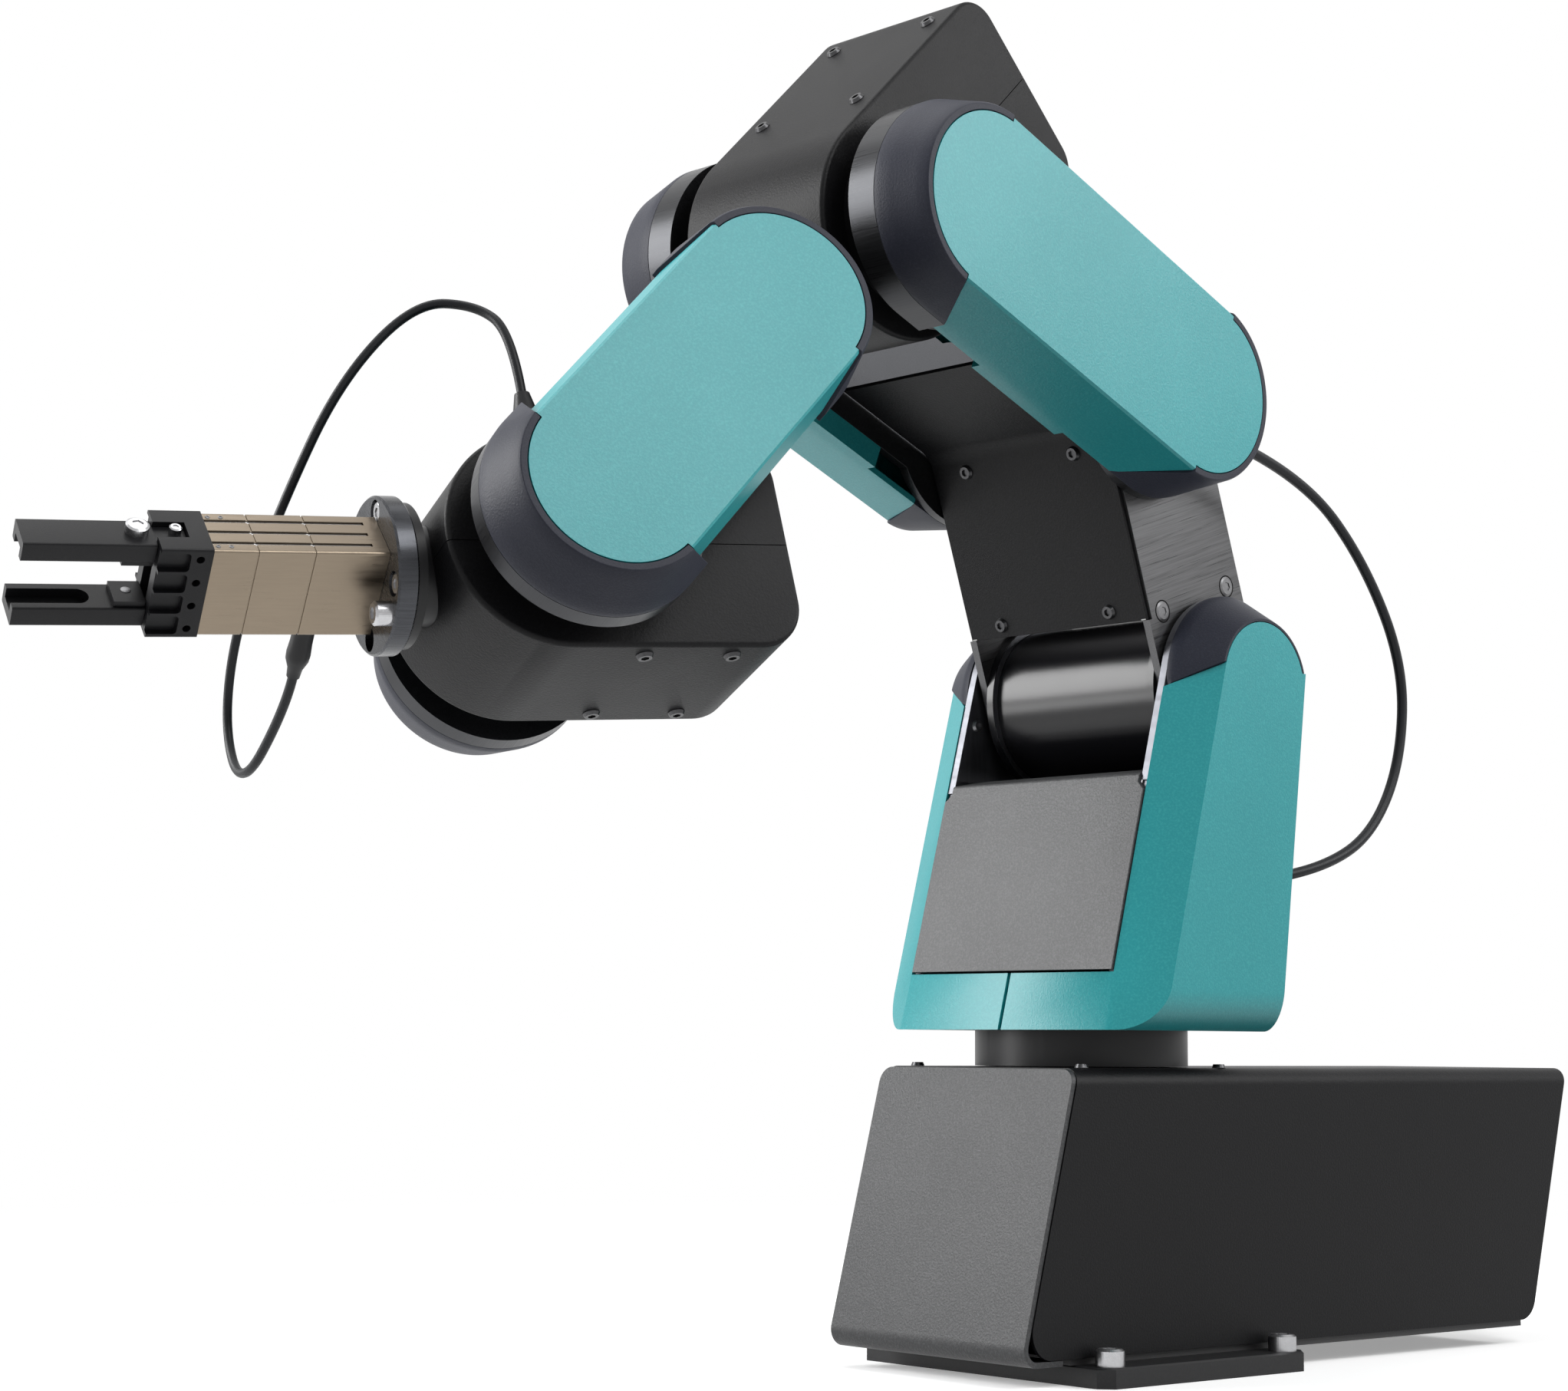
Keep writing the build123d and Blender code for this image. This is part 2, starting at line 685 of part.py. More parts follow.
def make_arm_front_cover():
    """Sheet on the front edges of the side plates, bent over between the pods."""
    t = BOX_SHEET
    z = -ARM_HALF
    outer = cover_bend(-FORK_COVER_LOW, z)
    inner = cover_bend(t - FORK_COVER_LOW, z + t)
    with BuildPart() as arm_front_cover:
        with BuildSketch(side(ARM)) as bent:
            with BuildLine():
                Polyline(
                    (ARM_COVER_START, z), outer, fork_point(FORK_COVER_END, -FORK_COVER_LOW),
                    fork_point(FORK_COVER_END, t - FORK_COVER_LOW), inner,
                    (ARM_COVER_START, z + t), close=True,
                )
            make_face()
            fillet(nearest(bent.vertices(), *outer), ARM_COVER_BEND)
            fillet(nearest(bent.vertices(), *inner), ARM_COVER_BEND + t)
        extrude(amount=ARM_COVER_HALF, both=True)
        with BuildSketch(side(ARM)):
            with Locations((ARM_COVER_START, z)):
                Rectangle(t, 9.0, align=(Align.MIN, Align.MIN))
        extrude(amount=ARM_PLATE_OUT - ARM_PLATE_T - SEAT_GAP, both=True)
    save(arm_front_cover, "arm_front_cover")


def make_arm_rear_cover():
    """Sheet between the side plates at the rear, with a rolled lower edge."""
    t = BOX_SHEET
    start = ARM_COVER_START
    z = ARM_HALF
    with BuildPart() as arm_rear_cover:
        with BuildSketch(side(ARM)):
            with BuildLine():
                Polyline(
                    (ARM_TOP - 16, z), (start, z), (start, z - 9.0), (start + t, z - 9.0),
                    (start + t, z - t), (ARM_TOP - 16, z - t), close=True,
                )
            strip = make_face()
            fillet(nearest(strip.vertices(), start, z), 3.0)
        extrude(amount=ARM_PLATE_OUT - ARM_PLATE_T - SEAT_GAP, both=True)
    save(arm_rear_cover, "arm_rear_cover")


def make_arm_screws():
    with BuildPart() as arm_screws:
        front = Plane(
            origin=ARM.from_local_coords(Vector(0, 0, -ARM_HALF - SEAT_GAP)),
            x_dir=ARM.x_dir, z_dir=ARM.z_dir * -1,
        )
        with BuildSketch(front):
            for x in ARM_SCREW_X:
                with Locations((x, -ARM_SCREW_Y), (x, ARM_SCREW_Y)):
                    Circle(HEAD_R)
        extrude(amount=HEAD_T, taper=20)
    save(arm_screws, "arm_screws")


def make_shoulder_drum():
    width = ARM_PLATE_OUT - ARM_PLATE_T - SEAT_GAP
    tip = COLUMN_IN - SEAT_GAP
    with BuildPart() as shoulder_drum:
        with BuildSketch(side(ARM)):
            Circle(DRUM_R)
        extrude(amount=width, both=True)
        for s in (1, -1):
            with BuildSketch(side(ARM, s * (width - 4))):
                Circle(DRUM_RIM_R)
            extrude(amount=-s * 4)
        with BuildSketch(side(ARM)):
            Circle(AXLE_R)
        extrude(amount=tip, both=True)
    save(shoulder_drum, "shoulder_drum")


def make_bracket(name, frame, s, span, y_in, y_out, r_body, r_end, r_ring, ring_out):
    """Machined side bracket: a long plate with a half ring round the joint at its end."""
    with BuildPart() as bracket:
        with BuildSketch(side(frame, s * y_in)):
            with Locations((-span / 2, 0)):
                SlotCenterToCenter(span, 2 * r_body)
            with Locations((-span, 0)):
                Circle(r_end)
            Circle(r_ring)
            with Locations((-CAP_RIM_LONG / 2, 0)):
                Rectangle(CAP_RIM_LONG, 2 * r_ring)
            Circle(STUB_R + RUN_GAP, mode=Mode.SUBTRACT)
        extrude(amount=-s * (y_out - y_in))
        with BuildSketch(side(frame, s * (y_out - 1))):
            with Locations((-r_ring, 0)):
                SlotCenterToCenter(2 * r_ring, 2 * r_ring)
                SlotCenterToCenter(2 * r_ring, 2 * (r_ring - RING_T), mode=Mode.SUBTRACT)
            with Locations((-CAP_RIM_LONG, 0)):
                Rectangle(
                    r_ring + CAP_RIM_LONG, 2 * r_ring, align=(Align.MIN, Align.CENTER),
                    mode=Mode.INTERSECT,
                )
        extrude(amount=-s * (ring_out - y_out + 1))
    save(bracket, name)


def pod_section(s, y_in, y_out, r_wall, r_face, wall):
    """Cross section of a pod: flat face, sloping sides and a short straight wall."""
    step = 4.0
    outer = [
        (s * y_in, r_wall), (s * (y_in + step), r_wall), (s * (y_out - 1), r_face + 1.0),
        (s * y_out, r_face),
    ]
    inner = [
        (s * (y_out - wall), r_face - 1.4), (s * (y_in + step), r_wall - wall),
        (s * y_in, r_wall - wall),
    ]
    points = outer + [(y, -z) for y, z in outer[::-1]]
    points += [(y, -z) for y, z in inner[::-1]] + inner
    Polyline(*points, close=True)


def beside_seam(x, end, s, y_in, y_out, y_rim):
    """Outline of what a pod leaves to its cap, in top view: beyond the seam and its gap."""
    over = 5.0
    slope = end * seam_slope(y_rim, y_out)
    face = x + end * (CAP_FACE_SHORT - SEAM_GAP)
    rim = x - end * (CAP_RIM_LONG + SEAM_GAP)
    far = x + end * 2 * over
    low = y_rim - SEAM_GAP
    points = [(face + slope * over, y_out + over), (rim, low), (far, low), (far, y_out + over)]
    if y_rim > y_in:
        near = x - end * SEAM_GAP
        points[2:3] = [(near, low), (near, y_in - over), (far, y_in - over)]
    Polyline(*[(px, s * py) for px, py in points], close=True)


def make_pod(name, frame, s, span, y_in, y_out, y_ring, r_wall, r_face, y_foot, r_foot):
    """Pod shell; below its wall a foot reaches down beside the bracket, from y_foot."""
    with BuildPart() as pod:
        with BuildSketch(across(frame, -span - CAP_FACE_SHORT)):
            with BuildLine():
                pod_section(s, y_in, y_out, r_wall, r_face, SHELL_T)
            make_face()
        extrude(amount=span + 2 * CAP_FACE_SHORT)
        with BuildSketch(level(frame)):
            for x, end, y_rim in ((0, 1, y_ring), (-span, -1, y_in)):
                with BuildLine():
                    beside_seam(x, end, s, y_in, y_out, y_rim)
                make_face()
        extrude(amount=r_wall + 5, both=True, mode=Mode.SUBTRACT)
        with BuildSketch(side(frame, s * y_out)):
            with Locations((-span / 2, 0)):
                SlotCenterToCenter(span, 2 * (r_face - CAP_BAND))
        extrude(amount=s * SHELL_T)
        if y_foot < y_in:
            clear = r_wall + SHELL_T + SEAT_GAP
            for w in (r_foot + SEAT_GAP, -r_wall):
                with BuildSketch(side(frame, s * y_foot)):
                    with Locations((-span / 2, w)):
                        Rectangle(
                            span - 2 * clear, r_wall - r_foot - SEAT_GAP,
                            align=(Align.CENTER, Align.MIN),
                        )
                extrude(amount=-s * (y_in + 1 - y_foot))
    save(pod, name)


# Elbow and wrist bodies, one sheet metal housing in two halves each


def make_housing(name, frame, half, radius, nose, tail, corner, seam, upper, hub_bore, roll_bore):
    """Half of a folded housing: a round front end and a tail with round corners."""
    wall = 2.5
    with BuildPart() as housing:
        with BuildSketch(side(frame)) as outline:
            with Locations((nose, 0)):
                Circle(radius)
            with Locations((nose, 0)):
                Rectangle(tail + nose, 2 * radius, align=(Align.MAX, Align.CENTER))
            fillet(outline.vertices().sort_by(Axis.X)[:2], corner)
        extrude(amount=half, both=True)
        walls = housing.faces().filter_by(GeomType.PLANE).filter_by(
            lambda f: abs(f.normal_at().dot(frame.y_dir)) > 0.99
        )
        fillet(walls.edges(), 2.0)
        with BuildSketch(side(frame)) as hollow:
            with Locations((nose, 0)):
                Circle(radius - wall)
            with Locations((nose, 0)):
                Rectangle(
                    tail + nose - wall, 2 * (radius - wall), align=(Align.MAX, Align.CENTER)
                )
            fillet(hollow.vertices().sort_by(Axis.X)[:2], corner - wall)
        extrude(amount=half - wall, both=True, mode=Mode.SUBTRACT)
        with BuildSketch(side(frame)):
            Circle(hub_bore)
        extrude(amount=half + 1, both=True, mode=Mode.SUBTRACT)
        with BuildSketch(across(frame)):
            Circle(roll_bore)
        extrude(amount=radius + nose + 1, mode=Mode.SUBTRACT)
        keep = Plane(
            origin=frame.from_local_coords(Vector(0, 0, seam)), x_dir=frame.x_dir, z_dir=frame.z_dir
        )
        split(bisect_by=keep, keep=Keep.TOP if upper else Keep.BOTTOM)
    save(housing, name)


def make_hub(name, frame, half, reach, stub, hub_r):
    """Axle of a pitch joint: two hub discs beside the housing and a stub into each bracket."""
    with BuildPart() as hub:
        with BuildSketch(side(frame)):
            Circle(STUB_R)
        extrude(amount=stub, both=True)
        for s in (1, -1):
            with BuildSketch(side(frame, s * (half + SEAT_GAP))):
                Circle(hub_r)
            extrude(amount=-s * (reach - half - SEAT_GAP))
    save(hub, name)


def make_housing_screws(name, frame, z, xs, y):
    up = 1 if z > 0 else -1
    seat = Plane(
        origin=frame.from_local_coords(Vector(0, 0, z + up * SEAT_GAP)),
        x_dir=frame.x_dir, z_dir=frame.z_dir * up,
    )
    with BuildPart() as screws:
        with BuildSketch(seat):
            for x in xs:
                with Locations((x, -y), (x, y)):
                    Circle(HEAD_R)
        extrude(amount=HEAD_T, taper=20)
    save(screws, name)


def make_roll_drive():
    with BuildPart() as roll_drive:
        with BuildSketch(across(ELBOW, STUB_R + 1)):
            Circle(ROLL_R)
        extrude(amount=ROLL_FACE - STUB_R - 1)
    save(roll_drive, "roll_drive")


def make_yoke():
    """Fork root on the roll drive; its block ends clear of the wrist housing's tail."""
    front = -FOREARM_LENGTH + ROLL_FACE + RUN_GAP
    tail = hypot(WRIST_TAIL - WRIST_CORNER, WRIST_R - WRIST_CORNER) + WRIST_CORNER
    with BuildPart() as forearm_yoke:
        with BuildSketch(across(FOREARM, front)):
            Circle(ROLL_R + 2)
        extrude(amount=9)
        with BuildSketch(across(FOREARM, front + 8)) as block:
            Rectangle(2 * YOKE_HALF, 64)
            fillet(block.vertices(), 10)
        extrude(amount=-tail - YOKE_CLEAR - front - 8)
    save(forearm_yoke, "forearm_yoke")


# Wrist body


def make_wrist_drive():
    with BuildPart() as wrist_drive:
        with BuildSketch(across(WRIST, STUB_R + 1)):
            Circle(NOSE_R)
        extrude(amount=FLANGE_REACH - ADAPTER_T - FLANGE_T - RUN_GAP - STUB_R - 1)
    save(wrist_drive, "wrist_drive")


# Tool body


def make_flange():
    with BuildPart() as tool_flange:
        with BuildSketch(across(TOOL, -ADAPTER_T - SEAT_GAP)):
            Circle(FLANGE_R)
        extrude(amount=-(FLANGE_T - SEAT_GAP))
    save(tool_flange, "tool_flange")


def make_adapter():
    with BuildPart() as adapter_disc:
        with BuildSketch(across(TOOL, -ADAPTER_T)):
            Circle(ADAPTER_R)
        extrude(amount=ADAPTER_T)
        chamfer(adapter_disc.edges().filter_by(GeomType.CIRCLE), 0.8)
        with Locations(Location(across(TOOL, 0))):
            with PolarLocations(25.0, 4, start_angle=ADAPTER_TURN):
                CounterBoreHole(3.2, 5.0, 4.0)
    save(adapter_disc, "adapter_disc")


def make_gripper_body():
    seam = 0.8
    with BuildPart() as gripper_body:
        with BuildSketch(across(TOOL, SEAT_GAP)):
            RectangleRounded(GRIP_WIDTH, GRIP_DEPTH, 1.2)
        extrude(amount=GRIP_LENGTH - SEAT_GAP)
        for x in (GRIP_LENGTH - 40.0, GRIP_LENGTH - 17.6):
            with BuildSketch(across(TOOL, x)):
                RectangleRounded(GRIP_WIDTH + 2, GRIP_DEPTH + 2, 1.2)
                RectangleRounded(GRIP_WIDTH - seam, GRIP_DEPTH - seam, 1.0, mode=Mode.SUBTRACT)
            extrude(amount=seam, mode=Mode.SUBTRACT)
        for z in (-7.0, 0.0, 7.0):
            with BuildSketch(across(TOOL, 6)):
                with Locations((GRIP_WIDTH / 2, z), (-GRIP_WIDTH / 2, z)):
                    Rectangle(2.4, 1.8)
            extrude(amount=GRIP_LENGTH, mode=Mode.SUBTRACT)
    save(gripper_body, "gripper_body")


def make_gripper_head():
    with BuildPart() as gripper_head:
        with BuildSketch(across(TOOL, GRIP_LENGTH + SEAT_GAP)):
            RectangleRounded(GRIP_WIDTH + 1.5, GRIP_DEPTH + 1.0, 1.0)
        extrude(amount=HEAD_LENGTH)
        with BuildSketch(across(TOOL, LUG_START)):
            with Locations((-GRIP_WIDTH / 2 - SEAT_GAP, 0)):
                Rectangle(4.8, 10.0, align=(Align.MAX, Align.CENTER))
        extrude(amount=LUG_LENGTH)
        with BuildSketch(across(TOOL, GRIP_LENGTH + 8)):
            Rectangle(GRIP_WIDTH + 8, GUIDE_DEEP + 2 * RUN_GAP)
        extrude(amount=HEAD_LENGTH, mode=Mode.SUBTRACT)
        face = GRIP_DEPTH / 2 + 0.5
        for z in (-face, face):
            with BuildSketch(level(TOOL, z)):
                with Locations((GRIP_LENGTH + HEAD_LENGTH, 0)):
                    with GridLocations(1, HEAD_POCKET_PITCH, 1, 4):
                        RectangleRounded(23.0, HEAD_POCKET_HIGH, 1.6)
            extrude(amount=2.6 if z < 0 else -2.6, mode=Mode.SUBTRACT)
            with BuildSketch(level(TOOL, z)):
                with Locations((GRIP_LENGTH + 4.8, 0)):
                    with GridLocations(1, HEAD_HOLE_PITCH, 1, 4):
                        Circle(HEAD_HOLE_R)
            extrude(amount=4.0 if z < 0 else -4.0, mode=Mode.SUBTRACT)
    save(gripper_head, "gripper_head")


def make_jaw(name, s):
    """Jaw: a base jaw that slides in the head and a finger with a scoop and a raised pad."""
    root = GRIP_LENGTH + 8 + RUN_GAP
    face = GRIP_LENGTH + HEAD_LENGTH + SEAT_GAP + RUN_GAP
    low = FINGER_GAP / 2
    with BuildPart() as jaw:
        with BuildSketch(across(TOOL, root)):
            with Locations((s * (low + FINGER_HIGH / 2), 0)):
                Rectangle(FINGER_HIGH - 1.0, GUIDE_DEEP)
        extrude(amount=face - root + 1)
        with BuildSketch(across(TOOL, face)):
            with Locations((s * (low + FINGER_HIGH / 2), 0)):
                RectangleRounded(FINGER_HIGH, FINGER_DEEP, 0.8)
        extrude(amount=FINGER_LENGTH)
        with BuildSketch(side(TOOL, s * (low + 1))):
            with Locations((face + FINGER_PAD / 2, 0)):
                Rectangle(FINGER_PAD, FINGER_DEEP - 3.0)
        extrude(amount=s * 3.4)
        with BuildSketch(side(TOOL, s * low)):
            with Locations((face + FINGER_LENGTH, 0)):
                SlotOverall(2 * FINGER_SCOOP, 9.0)
        extrude(amount=-s * 4.0, mode=Mode.SUBTRACT)
    save(jaw, name)


# Plugs and cords


def make_gripper_connector():
    """Round connector with a coupling nut, screwed to the underside of the gripper."""
    seat = GRIP_WIDTH / 2 + SEAT_GAP
    start = Plane(
        origin=TOOL.from_local_coords(Vector(CONNECTOR_X, 0, 0)), x_dir=TOOL.x_dir,
        z_dir=TOOL.z_dir,
    )
    with BuildPart() as gripper_connector:
        with BuildSketch(start):
            with BuildLine():
                Polyline(
                    (0, -seat), (4.6, -seat), (4.6, -seat - 3), (6.0, -seat - 3),
                    (6.0, -seat - 12), (4.8, -seat - 13), (4.8, -CONNECTOR_TIP + 6),
                    (3.2, -CONNECTOR_TIP), (0, -CONNECTOR_TIP), close=True,
                )
            make_face()
        revolve(axis=Axis(start.origin, TOOL.y_dir))
    save(gripper_connector, "gripper_connector")


def make_wrist_plug():
    """Straight plug of the gripper cable, standing on the wrist housing."""
    seat = WRIST_R + SEAT_GAP
    start = Plane(
        origin=WRIST.from_local_coords(Vector(PLUG_X, PLUG_Y, 0)), x_dir=WRIST.x_dir,
        z_dir=WRIST.y_dir * -1,
    )
    with BuildPart() as wrist_plug:
        with BuildSketch(start):
            with BuildLine():
                Polyline(
                    (0, seat), (7.0, seat), (7.0, seat + 4), (5.4, seat + 4),
                    (5.4, PLUG_TOP - 10), (3.2, PLUG_TOP), (0, PLUG_TOP), close=True,
                )
            make_face()
        revolve(axis=Axis(start.origin, start.y_dir))
    save(wrist_plug, "wrist_plug")


def cord_radii(points):
    """Bend radii of a cord's route, each from its shorter neighbouring run."""
    radii = []
    for a, b, c in zip(points, points[1:], points[2:]):
        first, second = Vector(*b) - Vector(*a), Vector(*c) - Vector(*b)
        half_turn = radians(first.get_angle(second)) / 2
        radii.append(CORD_BEND * min(first.length, second.length) / tan(half_turn))
    return radii


def make_cord(name, frame, points, diameter):
    route = [frame.from_local_coords(Vector(*p)) for p in points]
    radii = cord_radii(points)
    with BuildPart() as cord:
        with BuildLine():
            line = FilletPolyline(*route, radius=radii)
        start = Plane(origin=line @ 0, z_dir=line % 0)
        with BuildSketch(start):
            Circle(diameter / 2)
        sweep(path=line)
    length = line.length
    section = pi * diameter**2 / 4 * length
    print(name, "radii", [round(r, 1) for r in radii], "length", round(length, 1))
    print(name, "volume over section times length", round(cord.part.volume / section, 4))
    save(cord, name)


# Route points of the gripper cable, in the wrist frame, from the wrist plug to the connector
GRIPPER_ROUTE = [
    (-1.0, 14.0, 76.1), (-1.0, 14.0, 104.9), (6.7, 2.2, 124.0), (30.0, -8.0, 130.0),
    (63.1, -20.7, 97.7), (86.0, -44.5, 53.9), (96.5, -91.3, 22.0), (97.4, -123.9, -10.4),
    (100.0, -104.9, -48.5), (92.0, -58.9, -31.0), (92.0, -44.3, -23.35),
]

# Route points of the rear cable, in the column frame, from the lower arm to the column
REAR_ROUTE = [
    (-19.4, 85.2, 425.4), (-69.0, 83.6, 417.4), (-115.9, 83.6, 383.1), (-147.3, 84.0, 335.5),
    (-142.5, 84.7, 287.4), (-119.1, 84.0, 250.9), (-83.8, 81.0, 232.9), (-60.5, 75.0, 228.3),
]


def make_base():
    make_base_plate()
    make_base_pan()
    make_base_cover()
    make_base_front()
    make_base_rear()
    make_base_screws()
    make_base_drive()


def make_column():
    make_turret()
    make_column_front_cover()
    make_column_rear_cover()
    for name, s in SIDES:
        make_column_plate(f"column_plate_{name}", s)
        make_column_shell(f"column_shell_{name}", s)
        make_column_cap(f"column_cap_{name}", s)


def make_lower_arm():
    make_arm_front_cover()
    make_arm_rear_cover()
    make_arm_screws()
    make_shoulder_drum()
    for name, s in SIDES:
        make_arm_plate(f"arm_plate_{name}", s)
        make_bracket(
            f"elbow_bracket_{name}", FORK, s, FORK_SPAN, ARM_PLATE_OUT + SEAT_GAP,
            POD_A_IN - SEAT_GAP, POD_A_BODY_R, POD_A_WALL_R, POD_A_CAP_R, RING_A_OUT,
        )
        make_pod(
            f"arm_pod_{name}", FORK, s, FORK_SPAN, POD_A_IN, POD_A_OUT,
            RING_A_OUT + SEAT_GAP, POD_A_WALL_R, POD_A_FACE_R, ARM_PLATE_OUT + SEAT_GAP,
            POD_A_BODY_R,
        )
        make_pod_cap(
            f"elbow_cap_{name}", FORK, 0, 1, s, POD_A_CAP_R, POD_A_FACE_R,
            RING_A_OUT + SEAT_GAP, POD_A_OUT,
        )
        make_pod_cap(
            f"arm_end_cap_{name}", FORK, -FORK_SPAN, -1, s, POD_A_WALL_R, POD_A_FACE_R,
            POD_A_IN, POD_A_OUT,
        )


def make_elbow():
    for name, upper in (("front", True), ("back", False)):
        make_housing(
            f"elbow_housing_{name}", ELBOW, ELBOW_HALF, ELBOW_R, 0, ELBOW_TAIL, ELBOW_CORNER,
            ELBOW_SEAM + (SEAM_GAP / 2 if upper else -SEAM_GAP / 2), upper,
            STUB_R + SEAT_GAP, ROLL_R + SEAT_GAP,
        )
    make_hub("elbow_axle", ELBOW, ELBOW_HALF, ARM_PLATE_OUT - RUN_GAP, POD_A_IN - 0.3, HUB_R)
    make_roll_drive()
    make_housing_screws("elbow_screws", ELBOW, ELBOW_R, ELBOW_SCREW_X, ELBOW_SCREW_Y)


def make_forearm():
    make_yoke()
    for name, s in SIDES:
        make_bracket(
            f"wrist_bracket_{name}", FOREARM, s, POD_B_SPAN, YOKE_HALF + SEAT_GAP,
            POD_B_IN - SEAT_GAP, POD_B_WALL_R, POD_B_WALL_R, POD_B_CAP_R, RING_B_OUT,
        )
        make_pod(
            f"forearm_pod_{name}", FOREARM, s, POD_B_SPAN, POD_B_IN, POD_B_OUT,
            RING_B_OUT + SEAT_GAP, POD_B_WALL_R, POD_B_FACE_R, POD_B_IN, POD_B_WALL_R,
        )
        make_pod_cap(
            f"wrist_cap_{name}", FOREARM, 0, 1, s, POD_B_CAP_R, POD_B_FACE_R,
            RING_B_OUT + SEAT_GAP, POD_B_OUT,
        )
        make_pod_cap(
            f"forearm_end_cap_{name}", FOREARM, -POD_B_SPAN, -1, s, POD_B_END_R,
            POD_B_FACE_R, POD_B_IN, POD_B_OUT,
        )


def make_wrist():
    for name, upper in (("top", True), ("bottom", False)):
        make_housing(
            f"wrist_housing_{name}", WRIST, WRIST_HALF, WRIST_R, WRIST_NOSE, WRIST_TAIL,
            WRIST_CORNER,
            WRIST_SEAM + (SEAM_GAP / 2 if upper else -SEAM_GAP / 2), upper,
            STUB_R + SEAT_GAP, NOSE_R + SEAT_GAP,
        )
    make_hub("wrist_axle", WRIST, WRIST_HALF, YOKE_HALF - RUN_GAP, POD_B_IN - 0.3, HUB_R - 2)
    make_wrist_drive()
    make_housing_screws("wrist_screws", WRIST, -WRIST_R, WRIST_SCREW_X, WRIST_SCREW_Y)
    make_wrist_plug()


def make_tool():
    make_flange()
    make_adapter()
    make_gripper_body()
    make_gripper_head()
    make_jaw("jaw_upper", 1)
    make_jaw("jaw_lower", -1)
    make_gripper_connector()


make_base()
make_column()
make_lower_arm()
make_elbow()
make_forearm()
make_wrist()
make_tool()
make_cord("gripper_cable", WRIST, GRIPPER_ROUTE, GRIPPER_CORD_D)
make_cord("rear_cable", COLUMN, REAR_ROUTE, REAR_CORD_D)

for label, frame in (
    ("column", COLUMN), ("arm", ARM), ("elbow", ELBOW), ("forearm", FOREARM), ("wrist", WRIST),
    ("tool", TOOL),
):
    print("frame", label, frame.origin, frame.x_dir, frame.y_dir, frame.z_dir)
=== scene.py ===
# %% [markdown]
# # A bench robot arm, dressed for its photograph
# The frame is the arm as it came out of CAD: 59 closed solids on nine moving bodies.
# This script adds what a render needs on top of them. It adds finishes, screws, cables and
# small fittings, a camera, lamps and a floor.
# Everything is in metres. Each added piece but the two cables rides on the body that carries it.

# %% Load the fixed frame
import math

import bmesh
import bpy
from mathutils import Matrix, Vector


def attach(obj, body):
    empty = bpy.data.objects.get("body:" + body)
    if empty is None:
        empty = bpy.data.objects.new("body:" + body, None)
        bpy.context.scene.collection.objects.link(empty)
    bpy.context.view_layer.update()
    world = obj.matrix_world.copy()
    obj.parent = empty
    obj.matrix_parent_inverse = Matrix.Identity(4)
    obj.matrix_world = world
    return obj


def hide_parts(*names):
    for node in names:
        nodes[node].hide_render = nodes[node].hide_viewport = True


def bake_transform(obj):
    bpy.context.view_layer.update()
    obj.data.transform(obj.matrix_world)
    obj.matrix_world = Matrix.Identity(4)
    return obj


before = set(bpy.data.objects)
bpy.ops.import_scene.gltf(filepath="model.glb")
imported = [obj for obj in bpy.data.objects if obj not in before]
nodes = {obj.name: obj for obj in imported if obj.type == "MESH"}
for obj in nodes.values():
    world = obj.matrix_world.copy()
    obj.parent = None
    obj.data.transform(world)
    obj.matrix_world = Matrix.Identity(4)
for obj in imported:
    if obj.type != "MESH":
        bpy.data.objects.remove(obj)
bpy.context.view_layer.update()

# %% [markdown]
# ## Frames of the links
# The arm was posed from seven angles, so each link has a frame of its own. A frame here is a
# matrix that takes millimetres along the link's own axes and gives metres in the world.
# Building them from the same angles as the CAD source keeps every added screw on its seat.

# %% Frames, from the base plate to the tool
def lean(link, x, z, degrees):
    """A frame moved in its link's side view and leaned up about the link's y axis."""
    return link @ Matrix.Translation((x, 0, z)) @ Matrix.Rotation(math.radians(-degrees), 4, "Y")


def roll(link, degrees):
    return link @ Matrix.Rotation(math.radians(degrees), 4, "X")


MM = 0.001
COLUMN_TURN, FOREARM_ROLL, TOOL_ROLL = 4.2, 25.5, 27.8
ARM_LEAN, FORK_LEAN, ELBOW_LEAN, WRIST_LEAN = 70.6, 21.5, -45.3, 44.3
SHOULDER_X, SHOULDER_Z = -33.0, 314.5
ELBOW_X, ELBOW_Z = 167.3, 503.9
FOREARM_LENGTH, WRIST_TO_FLANGE = 240.0, 69.5

BASE = Matrix.Scale(MM, 4)
COLUMN = BASE @ Matrix.Rotation(math.radians(COLUMN_TURN), 4, "Z")
ARM = lean(COLUMN, SHOULDER_X, SHOULDER_Z, ARM_LEAN)
FORK = lean(COLUMN, ELBOW_X, ELBOW_Z, FORK_LEAN)
ELBOW = lean(COLUMN, ELBOW_X, ELBOW_Z, ELBOW_LEAN)
FOREARM = roll(lean(ELBOW, FOREARM_LENGTH, 0, 0), FOREARM_ROLL)
WRIST = lean(FOREARM, 0, 0, WRIST_LEAN)
TOOL = roll(lean(WRIST, WRIST_TO_FLANGE, 0, 0), TOOL_ROLL)
for name, link in (("elbow", ELBOW), ("wrist", WRIST), ("tool", TOOL)):
    print(name, "origin", [round(v, 4) for v in link.translation])
